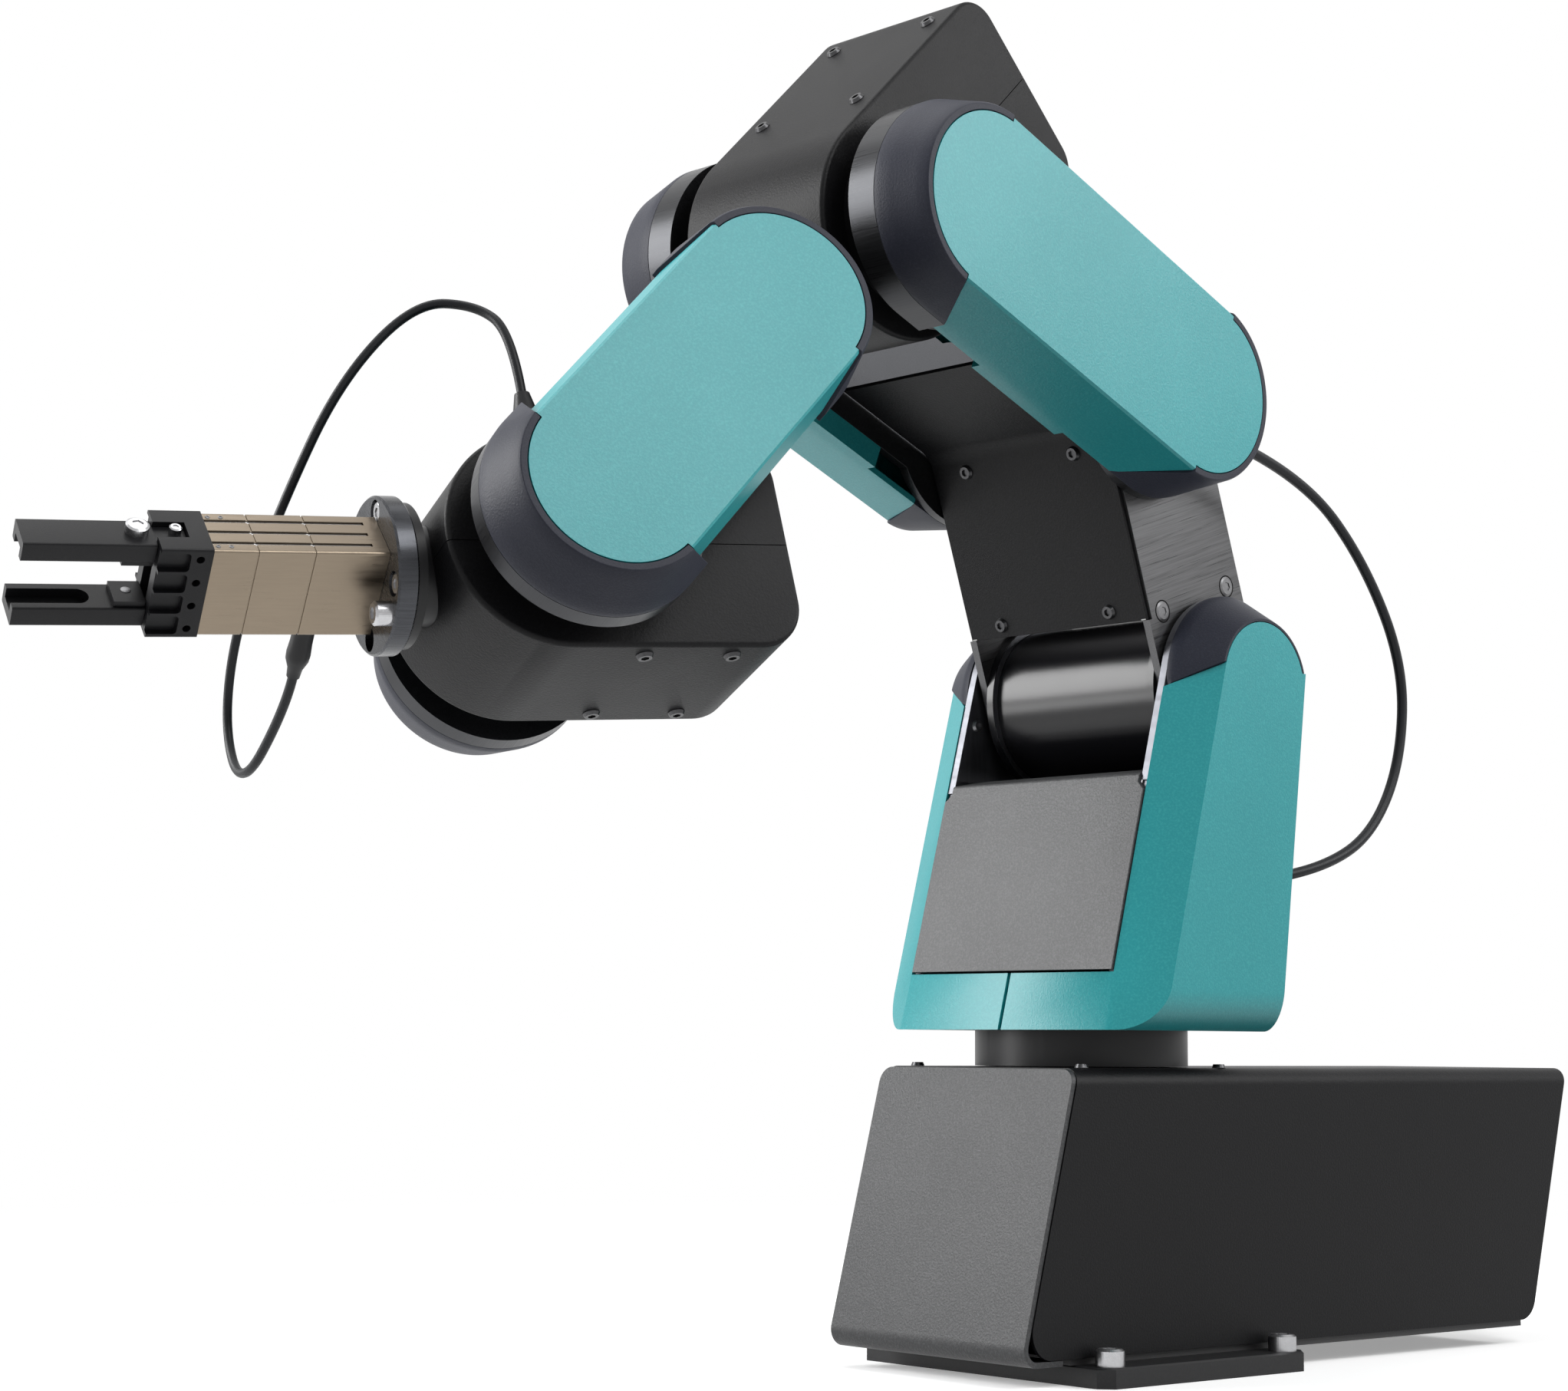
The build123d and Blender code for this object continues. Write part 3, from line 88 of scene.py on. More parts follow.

# %% [markdown]
# ## Camera
# The photograph was taken close to the bench, a little below the arm's middle and looking up.
# The position, turn and focal length below come from a fit of about ninety measured points, so
# the render can be laid over the photograph. The camera comes before everything else.

# %% Camera at the photographer's place
SENSOR_WIDTH = 36.0
PHOTO_WIDTH = 2044
FOCAL_PIXELS = 3925.81
CAMERA_PLACE = (1.02859, 1.00631, 0.14783)
CAMERA_AHEAD = (-0.6384, -0.7611, 0.1149)
CAMERA_RIGHT = (-0.76618, 0.64261, 0.0)
CAMERA_TILT = -0.38

camera_data = bpy.data.cameras.new("photo_view")
camera_data.sensor_width = SENSOR_WIDTH
camera_data.lens = SENSOR_WIDTH * FOCAL_PIXELS / PHOTO_WIDTH
camera_data.clip_start = 0.05
camera = bpy.data.objects.new("photo_view", camera_data)
bpy.context.scene.collection.objects.link(camera)
bpy.context.scene.camera = camera
forward = Vector(CAMERA_AHEAD).normalized()
right = Matrix.Rotation(math.radians(CAMERA_TILT), 3, forward) @ Vector(CAMERA_RIGHT)
up = right.cross(forward)
turn = Matrix((right, up, -forward)).transposed()
camera.matrix_world = Matrix.Translation(CAMERA_PLACE) @ turn.to_4x4()
print("lens", round(camera_data.lens, 2), "mm")

# %% [markdown]
# ## Cables
# Two free cables show. The thin one runs from a plug on the wrist, up and over in a wide loop,
# and comes back under the gripper to its round connector. The thicker one leaves the back of
# the lower arm and drops into the column. A NURBS curve of order 3 with a few control points
# gives the smooth, springy line of a real cable. Both cross a joint, and each is turned into a
# tube mesh.

# %% Route points, in millimetres in the frame of the link where each cable starts
GRIPPER_CABLE = 0.004
REAR_CABLE = 0.005
GRIPPER_ROUTE = [
    (-1.0, 14.0, 76.1), (-1.0, 14.0, 104.9), (6.7, 2.2, 124.0), (30.0, -8.0, 130.0),
    (63.1, -20.7, 97.7), (86.0, -44.5, 53.9), (96.5, -91.3, 22.0), (97.4, -123.9, -10.4),
    (100.0, -104.9, -48.5), (92.0, -58.9, -31.0), (92.0, -44.3, -23.35),
]
REAR_ROUTE = [
    (-19.4, 85.2, 425.4), (-69.0, 83.6, 417.4), (-115.9, 83.6, 383.1), (-147.3, 84.0, 335.5),
    (-142.5, 84.7, 287.4), (-119.1, 84.0, 250.9), (-83.8, 81.0, 232.9), (-60.5, 75.0, 228.3),
]


def spline_object(name, points, bevel=0.0):
    """A curve object with one open NURBS spline through the influence of its points."""
    data = bpy.data.curves.new(name, "CURVE")
    data.dimensions = "3D"
    data.resolution_u = 12
    data.bevel_depth = bevel
    data.bevel_resolution = 4
    data.use_fill_caps = True
    line = data.splines.new("NURBS")
    line.points.add(len(points) - 1)
    for spot, place in zip(line.points, points):
        spot.co = (*place, 1.0)
    line.use_endpoint_u = True
    line.order_u = 3
    made = bpy.data.objects.new(name, data)
    bpy.context.scene.collection.objects.link(made)
    return made


def as_mesh(source, name):
    """The evaluated object as a plain mesh object; the source is removed."""
    bpy.context.view_layer.update()
    graph = bpy.context.evaluated_depsgraph_get()
    mesh = bpy.data.meshes.new_from_object(source.evaluated_get(graph), depsgraph=graph)
    mesh.transform(source.matrix_world)
    made = bpy.data.objects.new(name, mesh)
    bpy.context.scene.collection.objects.link(made)
    bpy.data.objects.remove(source)
    mesh.name = name
    return made


def cable_tube(name, route, diameter):
    """The tube mesh, and the centre line's points read from the same spline."""
    thin = as_mesh(spline_object(name + "_line", route), name + "_line")
    path = [v.co.copy() for v in thin.data.vertices]
    bpy.data.objects.remove(thin)
    tube = as_mesh(spline_object(name, route, diameter / 2), name)
    tube.data.shade_smooth()
    length = sum((b - a).length for a, b in zip(path, path[1:]))
    print(name, "length", round(length, 4), "points", len(path))
    return tube, path, length


gripper_route = [WRIST @ Vector(p) for p in GRIPPER_ROUTE]
rear_route = [COLUMN @ Vector(p) for p in REAR_ROUTE]
gripper_cord, gripper_path, gripper_length = cable_tube(
    "gripper_cord", gripper_route, GRIPPER_CABLE)
rear_cord, rear_path, rear_length = cable_tube(
    "rear_cord", rear_route, REAR_CABLE)

# %% [markdown]
# ## Shared surface effects
# The same few effects come back on many finishes, so each is one node group. Powder coat and
# moulded plastic both need a fine grain that breaks up the highlight. Machined metal needs
# long scratches in one direction. Both read Object coordinates, which are metres here, so one
# scale value means the same size on every piece.

# %% Node group helpers
def new_group(name, inputs, outputs):
    """An empty shader group with typed, named sockets. Inputs are (name, kind, default)."""
    tree = bpy.data.node_groups.new(name, "ShaderNodeTree")
    for label, kind, default in inputs:
        socket = tree.interface.new_socket(label, in_out="INPUT", socket_type="NodeSocket" + kind)
        socket.default_value = default
    for label, kind in outputs:
        tree.interface.new_socket(label, in_out="OUTPUT", socket_type="NodeSocket" + kind)
    return tree, tree.nodes.new("NodeGroupInput"), tree.nodes.new("NodeGroupOutput")


def math_node(tree, operation, a, b, clamp=False):
    node = tree.nodes.new("ShaderNodeMath")
    node.operation = operation
    node.use_clamp = clamp
    for socket, value in zip(node.inputs, (a, b)):
        if isinstance(value, (int, float)):
            socket.default_value = value
        else:
            tree.links.new(value, socket)
    return node.outputs[0]


def noise_node(tree, vector, scale, detail=2.0, rough=0.5):
    node = tree.nodes.new("ShaderNodeTexNoise")
    node.inputs["Detail"].default_value = detail
    node.inputs["Roughness"].default_value = rough
    tree.links.new(vector, node.inputs["Vector"])
    if isinstance(scale, (int, float)):
        node.inputs["Scale"].default_value = scale
    else:
        tree.links.new(scale, node.inputs["Scale"])
    return node.outputs["Fac"]


def mix_colour(tree, factor, a, b):
    """A mix of two colours. Sockets 6 and 7 are the node's colour inputs A and B."""
    node = tree.nodes.new("ShaderNodeMix")
    node.data_type = "RGBA"
    sockets = (node.inputs["Factor"], node.inputs[6], node.inputs[7])
    for socket, value in zip(sockets, (factor, a, b)):
        if hasattr(value, "is_output"):
            tree.links.new(value, socket)
        else:
            socket.default_value = value
    return node.outputs[2]


# %% Grain: the pebbled skin of powder coat and of moulded plastic
GRAIN_PATCHES = 14.0      # soft patches per metre that vary tone and roughness
GRAIN_PATCH_TONE = 0.16
SPECK_START = 0.45        # noise level where a light speck begins
SPECK_EDGE = 3.0

grain, g_in, g_out = new_group(
    "Surface grain",
    [("Colour", "Color", (0.5, 0.5, 0.5, 1)), ("Light speck", "Color", (0.6, 0.6, 0.6, 1)),
     ("Grains per metre", "Float", 900.0), ("Speck", "Float", 0.3), ("Roughness", "Float", 0.5),
     ("Roughness swing", "Float", 0.1), ("Height", "Float", 0.00003)],
    [("Colour", "Color"), ("Roughness", "Float"), ("Normal", "Vector")],
)
place = grain.nodes.new("ShaderNodeTexCoord").outputs["Object"]
fine = noise_node(grain, place, g_in.outputs["Grains per metre"], 3.0, 0.6)
broad = noise_node(grain, place, GRAIN_PATCHES, 3.0, 0.55)
speck = math_node(grain, "SUBTRACT", fine, SPECK_START)
speck = math_node(grain, "MULTIPLY", speck, SPECK_EDGE, clamp=True)
speck = math_node(grain, "MULTIPLY", speck, g_in.outputs["Speck"], clamp=True)
tint = mix_colour(grain, speck, g_in.outputs["Colour"], g_in.outputs["Light speck"])
patch = math_node(grain, "MULTIPLY", broad, GRAIN_PATCH_TONE)
tint = mix_colour(grain, patch, tint, (0.0, 0.0, 0.0, 1))
swing = math_node(grain, "SUBTRACT", broad, 0.5)
swing = math_node(grain, "MULTIPLY", swing, g_in.outputs["Roughness swing"])
swing = math_node(grain, "ADD", swing, g_in.outputs["Roughness"], clamp=True)
bump = grain.nodes.new("ShaderNodeBump")
bump.inputs["Strength"].default_value = 1.0
grain.links.new(g_in.outputs["Height"], bump.inputs["Distance"])
grain.links.new(fine, bump.inputs["Height"])
grain.links.new(tint, g_out.inputs["Colour"])
grain.links.new(swing, g_out.inputs["Roughness"])
grain.links.new(bump.outputs[0], g_out.inputs["Normal"])

# %% Brush: long scratches along one direction of a link
BRUSH_PATCHES = 22.0
BRUSH_PATCH_TONE = 0.14
LINE_START = 0.62         # noise level under which a scratch is dark
LINE_EDGE = 2.4
LINE_ROUGHNESS = 0.35     # how far the scratches swing the roughness

brush, b_in, b_out = new_group(
    "Brushed lines",
    [("Colour", "Color", (0.5, 0.5, 0.5, 1)), ("Turn", "Vector", (0, 0, 0)),
     ("Stretch", "Vector", (40.0, 2600.0, 2600.0)), ("Contrast", "Float", 0.35),
     ("Roughness", "Float", 0.35), ("Height", "Float", 0.00001)],
    [("Colour", "Color"), ("Roughness", "Float"), ("Normal", "Vector")],
)
place = brush.nodes.new("ShaderNodeTexCoord").outputs["Object"]
turned = brush.nodes.new("ShaderNodeMapping")
stretched = brush.nodes.new("ShaderNodeMapping")
brush.links.new(place, turned.inputs["Vector"])
brush.links.new(b_in.outputs["Turn"], turned.inputs["Rotation"])
brush.links.new(turned.outputs[0], stretched.inputs["Vector"])
brush.links.new(b_in.outputs["Stretch"], stretched.inputs["Scale"])
lines = noise_node(brush, stretched.outputs[0], 1.0, 2.0, 0.6)
broad = noise_node(brush, place, BRUSH_PATCHES, 2.0, 0.5)
dark = math_node(brush, "SUBTRACT", LINE_START, lines)
dark = math_node(brush, "MULTIPLY", dark, LINE_EDGE, clamp=True)
dark = math_node(brush, "MULTIPLY", dark, b_in.outputs["Contrast"], clamp=True)
tint = mix_colour(brush, dark, b_in.outputs["Colour"], (0.0, 0.0, 0.0, 1))
patch = math_node(brush, "MULTIPLY", broad, BRUSH_PATCH_TONE)
tint = mix_colour(brush, patch, tint, (0.0, 0.0, 0.0, 1))
rough = math_node(brush, "SUBTRACT", lines, 0.5)
rough = math_node(brush, "MULTIPLY", rough, LINE_ROUGHNESS)
rough = math_node(brush, "ADD", rough, b_in.outputs["Roughness"], clamp=True)
bump = brush.nodes.new("ShaderNodeBump")
brush.links.new(b_in.outputs["Height"], bump.inputs["Distance"])
brush.links.new(lines, bump.inputs["Height"])
brush.links.new(tint, b_out.inputs["Colour"])
brush.links.new(rough, b_out.inputs["Roughness"])
brush.links.new(bump.outputs[0], b_out.inputs["Normal"])
print("groups:", grain.name, "and", brush.name)

# %% [markdown]
# ## Finishes
# Each finish is one Principled shader. The even numbers, such as metallic and the specular
# level, sit on the shader itself. Only what changes over the surface comes from a group.
# The colours are linear values read against the photograph under plain light.

# %% A finish from a group
def finish(name, group, settings, metallic=0.0, specular=0.5):
    """A Principled material whose colour, roughness and normal come from a group."""
    material = bpy.data.materials.new(name)
    material.use_nodes = True
    tree = material.node_tree
    shader = tree.nodes["Principled BSDF"]
    shader.inputs["Metallic"].default_value = metallic
    shader.inputs["Specular IOR Level"].default_value = specular
    source = tree.nodes.new("ShaderNodeGroup")
    source.node_tree = group
    for label, value in settings.items():
        source.inputs[label].default_value = value
    tree.links.new(source.outputs["Colour"], shader.inputs["Base Color"])
    tree.links.new(source.outputs["Roughness"], shader.inputs["Roughness"])
    tree.links.new(source.outputs["Normal"], shader.inputs["Normal"])
    material.diffuse_color = (*settings["Colour"][:3], 1)
    return material


def grained(name, colour, speck, grains, amount, rough, swing, height, **even):
    """A pebbled finish: base and speck colours, grains per metre, speck share, relief in metres."""
    settings = {
        "Colour": (*colour, 1), "Light speck": (*speck, 1), "Grains per metre": grains,
        "Speck": amount, "Roughness": rough, "Roughness swing": swing, "Height": height,
    }
    return finish(name, grain, settings, **even)


def brushed(name, colour, link, stretch, contrast, rough, height=0.00001, **even):
    """Lines run along the axis of the link whose stretch is the small number."""
    turn = link.to_3x3().normalized().inverted().to_euler()
    settings = {
        "Colour": (*colour, 1), "Turn": tuple(turn), "Stretch": stretch,
        "Contrast": contrast, "Roughness": rough, "Height": height,
    }
    return finish(name, brush, settings, **even)


# %% The finishes of this arm
COAT = {
    "black_coat": grained(
        "black_coat", (0.0042, 0.0042, 0.0048), (0.013, 0.013, 0.015), 1000, 0.5, 0.44, 0.12,
        0.00015, specular=0.13),
    "front_coat": grained(
        "front_coat", (0.045, 0.046, 0.048), (0.135, 0.136, 0.140), 1000, 0.7, 0.42, 0.10, 0.00020,
        specular=0.36),
    "base_front_coat": grained(
        "base_front_coat", (0.030, 0.031, 0.033), (0.100, 0.101, 0.105), 1000, 0.7, 0.42, 0.10,
        0.00024, specular=0.32),
    "pan_coat": grained(
        "pan_coat", (0.020, 0.020, 0.021), (0.035, 0.035, 0.036), 1500, 0.4, 0.55, 0.10, 0.00004),
    "teal_skin": grained(
        "teal_skin", (0.014, 0.310, 0.335), (0.050, 0.440, 0.460), 1000, 0.6, 0.38, 0.06, 0.00011,
        specular=0.46),
    "charcoal_cap": grained(
        "charcoal_cap", (0.022, 0.024, 0.036), (0.040, 0.043, 0.060), 1200, 0.5, 0.48, 0.08,
        0.00014, specular=0.18),
    "plate_black": grained(
        "plate_black", (0.008, 0.008, 0.009), (0.02, 0.02, 0.021), 700, 0.4, 0.42, 0.15, 0.00003,
        specular=0.3),
    "anodised": grained(
        "anodised", (0.007, 0.007, 0.008), (0.014, 0.014, 0.015), 2600, 0.3, 0.36, 0.10, 0.00001,
        specular=0.25),
    "finger_black": grained(
        "finger_black", (0.005, 0.005, 0.006), (0.012, 0.012, 0.013), 2000, 0.4, 0.40, 0.12,
        0.00003, specular=0.18),
    "cord_rubber": grained(
        "cord_rubber", (0.007, 0.008, 0.010), (0.013, 0.014, 0.016), 1800, 0.3, 0.42, 0.08,
        0.00002, specular=0.2),
    "moulded_black": grained(
        "moulded_black", (0.006, 0.006, 0.007), (0.012, 0.012, 0.013), 1500, 0.3, 0.38, 0.1,
        0.00002, specular=0.22),
    "screw_black": grained(
        "screw_black", (0.060, 0.060, 0.063), (0.11, 0.11, 0.112), 900, 0.5, 0.30, 0.15, 0.00001,
        metallic=0.9),
    "screw_grey": grained(
        "screw_grey", (0.16, 0.16, 0.165), (0.24, 0.24, 0.245), 900, 0.5, 0.34, 0.15, 0.00001,
        metallic=0.9),
    "screw_bright": grained(
        "screw_bright", (0.42, 0.42, 0.43), (0.55, 0.55, 0.56), 900, 0.4, 0.28, 0.15, 0.00001,
        metallic=1.0),
    # painted light: a near-white finish for the arm cover's notches, standing in for light that
    # shows through them
    "notch_painted_light": grained(
        "notch_painted_light", (0.62, 0.62, 0.61), (0.7, 0.7, 0.69), 900, 0.2, 0.5, 0.05, 0.00001),
    "brass_nut": grained(
        "brass_nut", (0.45, 0.40, 0.32), (0.55, 0.5, 0.42), 1200, 0.3, 0.32, 0.1, 0.00001,
        metallic=1.0),
    "shadow_gap": grained(
        "shadow_gap", (0.003, 0.003, 0.003), (0.004, 0.004, 0.004), 900, 0.2, 0.8, 0.05, 0.00001,
        specular=0.1),
    "silver_plate": brushed(
        "silver_plate", (0.150, 0.153, 0.168), COLUMN, (900, 40, 40), 0.2, 0.42, metallic=1.0),
    "dark_plate": brushed(
        "dark_plate", (0.105, 0.105, 0.108), ARM, (2400, 2400, 30), 0.45, 0.34, metallic=0.9),
    "dark_ring_a": brushed(
        "dark_ring_a", (0.038, 0.039, 0.042), FORK, (2400, 30, 2400), 0.4, 0.34, metallic=0.9),
    "dark_ring_b": brushed(
        "dark_ring_b", (0.030, 0.031, 0.035), FOREARM, (2400, 30, 2400), 0.4, 0.36, metallic=0.85),
    "drum_black": grained(
        "drum_black", (0.004, 0.004, 0.005), (0.008, 0.008, 0.009), 2400, 0.3, 0.25, 0.06, 0.00001,
        specular=0.32),
    "adapter_metal": brushed(
        "adapter_metal", (0.055, 0.057, 0.063), TOOL, (30, 900, 90), 0.35, 0.28, metallic=0.9),
    "nickel_body": brushed(
        "nickel_body", (0.210, 0.172, 0.130), TOOL, (60, 900, 900), 0.10, 0.34, metallic=1.0),
}
print("finishes:", len(COAT))

# %% [markdown]
# ## Finishes on the CAD nodes
# A CAD node's shape is already right, so it only gets a finish. Its mesh is loose triangles,
# which would shade as flat facets. A small Geometry Nodes modifier joins them and shades
# smooth only across soft edges. A narrow bevel after it gives each sheet and block the thin
# bright line that a real edge has.

# %% Geometry Nodes tree that joins facets and shades by angle
def geometry_tree(name, inputs):
    """A Geometry Nodes tree with a geometry in and out. Inputs are (name, kind, default)."""
    tree = bpy.data.node_groups.new(name, "GeometryNodeTree")
    tree.interface.new_socket("Geometry", in_out="INPUT", socket_type="NodeSocketGeometry")
    for label, kind, default in inputs:
        socket = tree.interface.new_socket(label, in_out="INPUT", socket_type="NodeSocket" + kind)
        if default is not None:
            socket.default_value = default
    tree.interface.new_socket("Geometry", in_out="OUTPUT", socket_type="NodeSocketGeometry")
    return tree, tree.nodes.new("NodeGroupInput"), tree.nodes.new("NodeGroupOutput")


def set_input(modifier, label, value):
    """Sets a modifier's input by its socket identifier."""
    for item in modifier.node_group.interface.items_tree:
        if item.item_type == "SOCKET" and item.in_out == "INPUT" and item.name == label:
            modifier[item.identifier] = value


SHARP_ANGLE = 0.6
BEVEL_ANGLE = math.radians(50)

soft, s_in, s_out = geometry_tree(
    "Join and shade",
    [("Join distance", "Float", 0.000005), ("Sharp angle", "Float", SHARP_ANGLE)])
merge = soft.nodes.new("GeometryNodeMergeByDistance")
angle = soft.nodes.new("GeometryNodeInputMeshEdgeAngle")
is_soft = soft.nodes.new("FunctionNodeCompare")
is_soft.operation = "LESS_THAN"
faces = soft.nodes.new("GeometryNodeSetShadeSmooth")
edges = soft.nodes.new("GeometryNodeSetShadeSmooth")
edges.domain = "EDGE"
soft.links.new(s_in.outputs["Geometry"], merge.inputs["Geometry"])
soft.links.new(s_in.outputs["Join distance"], merge.inputs["Distance"])
soft.links.new(angle.outputs["Unsigned Angle"], is_soft.inputs["A"])
soft.links.new(s_in.outputs["Sharp angle"], is_soft.inputs["B"])
soft.links.new(merge.outputs[0], faces.inputs["Geometry"])
soft.links.new(faces.outputs[0], edges.inputs["Geometry"])
soft.links.new(is_soft.outputs[0], edges.inputs["Shade Smooth"])
soft.links.new(edges.outputs[0], s_out.inputs["Geometry"])


def dress(node, material, bevel=0.0):
    """Gives a CAD node its finish, smooth shading and, where wanted, a narrow bevel."""
    item = nodes[node]
    if not item.material_slots:
        item.data.materials.append(material)
    for holder in item.material_slots:
        holder.material = material
    shade = item.modifiers.new("join_and_shade", "NODES")
    shade.node_group = soft
    if bevel:
        edge = item.modifiers.new("edge", "BEVEL")
        edge.width = bevel
        edge.segments = 2
        edge.limit_method = "ANGLE"
        edge.angle_limit = BEVEL_ANGLE
        edge.harden_normals = True


# %% Which finish goes where: the coat of each node, and the width of its edge bevel
WEAR = {
    "base_plate": ("plate_black", 0), "base_pan": ("pan_coat", 0),
    "base_cover": ("black_coat", 0.0004),
    "base_front_plate": ("base_front_coat", 0.0004), "base_rear_panel": ("pan_coat", 0),
    "base_drive": ("anodised", 0), "turret": ("anodised", 0.0005),
    "column_front_cover": ("front_coat", 0.0003), "column_rear_cover": ("black_coat", 0.0003),
    "arm_front_cover": ("black_coat", 0.0003), "arm_rear_cover": ("black_coat", 0.0003),
    "shoulder_drum": ("drum_black", 0.0004),
    "elbow_housing_front": ("black_coat", 0), "elbow_housing_back": ("black_coat", 0),
    "elbow_axle": ("anodised", 0), "roll_drive": ("anodised", 0.0005),
    "forearm_yoke": ("anodised", 0.0005),
    "wrist_housing_top": ("black_coat", 0), "wrist_housing_bottom": ("black_coat", 0),
    "wrist_axle": ("anodised", 0), "wrist_drive": ("anodised", 0),
    "wrist_plug": ("moulded_black", 0), "tool_flange": ("anodised", 0.0003),
    "adapter_disc": ("adapter_metal", 0), "gripper_body": ("nickel_body", 0),
    "gripper_head": ("finger_black", 0.0002),
    "jaw_upper": ("finger_black", 0.0002), "jaw_lower": ("finger_black", 0.0002),
}
for hand in ("left", "right"):
    WEAR["column_plate_" + hand] = ("silver_plate", 0.0002)
    WEAR["column_shell_" + hand] = ("teal_skin", 0.0005)
    WEAR["column_cap_" + hand] = ("charcoal_cap", 0.0003)
    WEAR["arm_plate_" + hand] = ("dark_plate", 0.0003)
    WEAR["elbow_bracket_" + hand] = ("dark_ring_a", 0.0003)
    WEAR["arm_pod_" + hand] = ("teal_skin", 0.0004)
    WEAR["elbow_cap_" + hand] = ("charcoal_cap", 0.0003)
    WEAR["arm_end_cap_" + hand] = ("charcoal_cap", 0.0003)
    WEAR["wrist_bracket_" + hand] = ("dark_ring_b", 0.0003)
    WEAR["forearm_pod_" + hand] = ("teal_skin", 0.0004)
    WEAR["wrist_cap_" + hand] = ("charcoal_cap", 0.0003)
    WEAR["forearm_end_cap_" + hand] = ("charcoal_cap", 0.0003)
for node, (coat, bevel) in WEAR.items():
    dress(node, COAT[coat], bevel)
print("dressed:", len(WEAR), "of", len(nodes), "nodes")
print("left for replacement:", sorted(set(nodes) - set(WEAR)))

# %% [markdown]
# ## Finishing the cables
# Each cable stands for its CAD tube, which is hidden. The tube gets its rubber finish, and
# its place is baked into its mesh.

# %% Give the two cables their finish and hide their CAD tubes
def finish_cable(tube, material, node):
    tube.data.materials.clear()
    tube.data.materials.append(material)
    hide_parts(node)
    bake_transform(tube)


finish_cable(
    gripper_cord, COAT["cord_rubber"],
    "gripper_cable",
)
finish_cable(
    rear_cord, COAT["cord_rubber"],
    "rear_cable",
)

# %% [markdown]
# ## Screws
# The covers are held by small socket screws, and the base by four larger ones. A screw head
# is a turned cap with a hexagon pocket. Drawing it once in Geometry Nodes and placing it on
# points keeps every head the same. The points carry the direction that each screw looks in.

# %% Geometry Nodes tree of a socket screw
screw, k_in, k_out = geometry_tree(
    "Socket screws",
    [("Head radius", "Float", 0.004), ("Head height", "Float", 0.0018),
     ("Top radius", "Float", 0.0032), ("Skirt", "Float", 0.0),
     ("Pocket radius", "Float", 0.0018), ("Pocket depth", "Float", 0.0012),
     ("Finish", "Material", None)],
)


def link(tree, *pairs):
    """Links each (output, input) pair in a tree."""
    for a, b in pairs:
        tree.links.new(a, b)


def lifted(tree, geometry, height):
    """Moves a geometry up by a height socket."""
    move = tree.nodes.new("GeometryNodeTransform")
    vector = tree.nodes.new("ShaderNodeCombineXYZ")
    link(tree, (height, vector.inputs["Z"]), (geometry, move.inputs["Geometry"]),
         (vector.outputs[0], move.inputs["Translation"]))
    return move.outputs[0]


def cone(tree, sides, top, bottom, depth):
    node = tree.nodes.new("GeometryNodeMeshCone")
    node.inputs["Vertices"].default_value = sides
    link(tree, (top, node.inputs["Radius Top"]), (bottom, node.inputs["Radius Bottom"]),
         (depth, node.inputs["Depth"]))
    return node.outputs["Mesh"]


ROUND_SIDES, HEX_SIDES = 40, 6
given = k_in.outputs
collar = cone(screw, ROUND_SIDES, given["Head radius"], given["Head radius"], given["Skirt"])
cap = cone(screw, ROUND_SIDES, given["Top radius"], given["Head radius"], given["Head height"])
cap = lifted(screw, cap, given["Skirt"])
top = math_node(screw, "ADD", given["Skirt"], given["Head height"])
low = math_node(screw, "SUBTRACT", top, given["Pocket depth"])
pocket = cone(
    screw, HEX_SIDES, given["Pocket radius"], given["Pocket radius"], given["Head height"])
pocket = lifted(screw, pocket, low)
cut = screw.nodes.new("GeometryNodeMeshBoolean")
cut.operation = "DIFFERENCE"
body = screw.nodes.new("GeometryNodeJoinGeometry")
onto = screw.nodes.new("GeometryNodeInstanceOnPoints")
aim = screw.nodes.new("GeometryNodeInputNamedAttribute")
aim.data_type = "FLOAT_VECTOR"
aim.inputs["Name"].default_value = "looks"
align = screw.nodes.new("FunctionNodeAlignRotationToVector")
align.axis = "Z"
real = screw.nodes.new("GeometryNodeRealizeInstances")
paint = screw.nodes.new("GeometryNodeSetMaterial")
shade = screw.nodes.new("GeometryNodeSetShadeSmooth")
shade.inputs["Shade Smooth"].default_value = False
link(
    screw, (cap, cut.inputs["Mesh 1"]), (pocket, cut.inputs["Mesh 2"]),
    (cut.outputs["Mesh"], body.inputs[0]), (collar, body.inputs[0]),
    (body.outputs[0], shade.inputs["Geometry"]), (shade.outputs[0], onto.inputs["Instance"]),
    (given["Geometry"], onto.inputs["Points"]),
    (aim.outputs[0], align.inputs["Vector"]), (align.outputs[0], onto.inputs["Rotation"]),
    (onto.outputs[0], real.inputs[0]), (real.outputs[0], paint.inputs["Geometry"]),
    (given["Finish"], paint.inputs["Material"]),
    (paint.outputs[0], k_out.inputs["Geometry"]),
)


def from_tree(name, tree, spots, looks, settings, body):
    """Runs a tree on points that carry a direction and keeps the result as a plain mesh."""
    mesh = bpy.data.meshes.new(name)
    mesh.from_pydata([tuple(p) for p in spots], [], [])
    attribute = mesh.attributes.new("looks", "FLOAT_VECTOR", "POINT")
    for item, direction in zip(attribute.data, looks):
        item.vector = direction
    holder = bpy.data.objects.new(name, mesh)
    bpy.context.scene.collection.objects.link(holder)
    modifier = holder.modifiers.new("build", "NODES")
    modifier.node_group = tree
    for label, value in settings.items():
        set_input(modifier, label, value)
    made = as_mesh(holder, name)
    made.name = name
    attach(made, body)
    print(name, "faces", len(made.data.polygons))
    return made


CAP_TAPER = 0.8           # a cap's top radius as a share of the head radius
POCKET_SHARE = 0.8        # a pocket's depth as a share of the cap's height


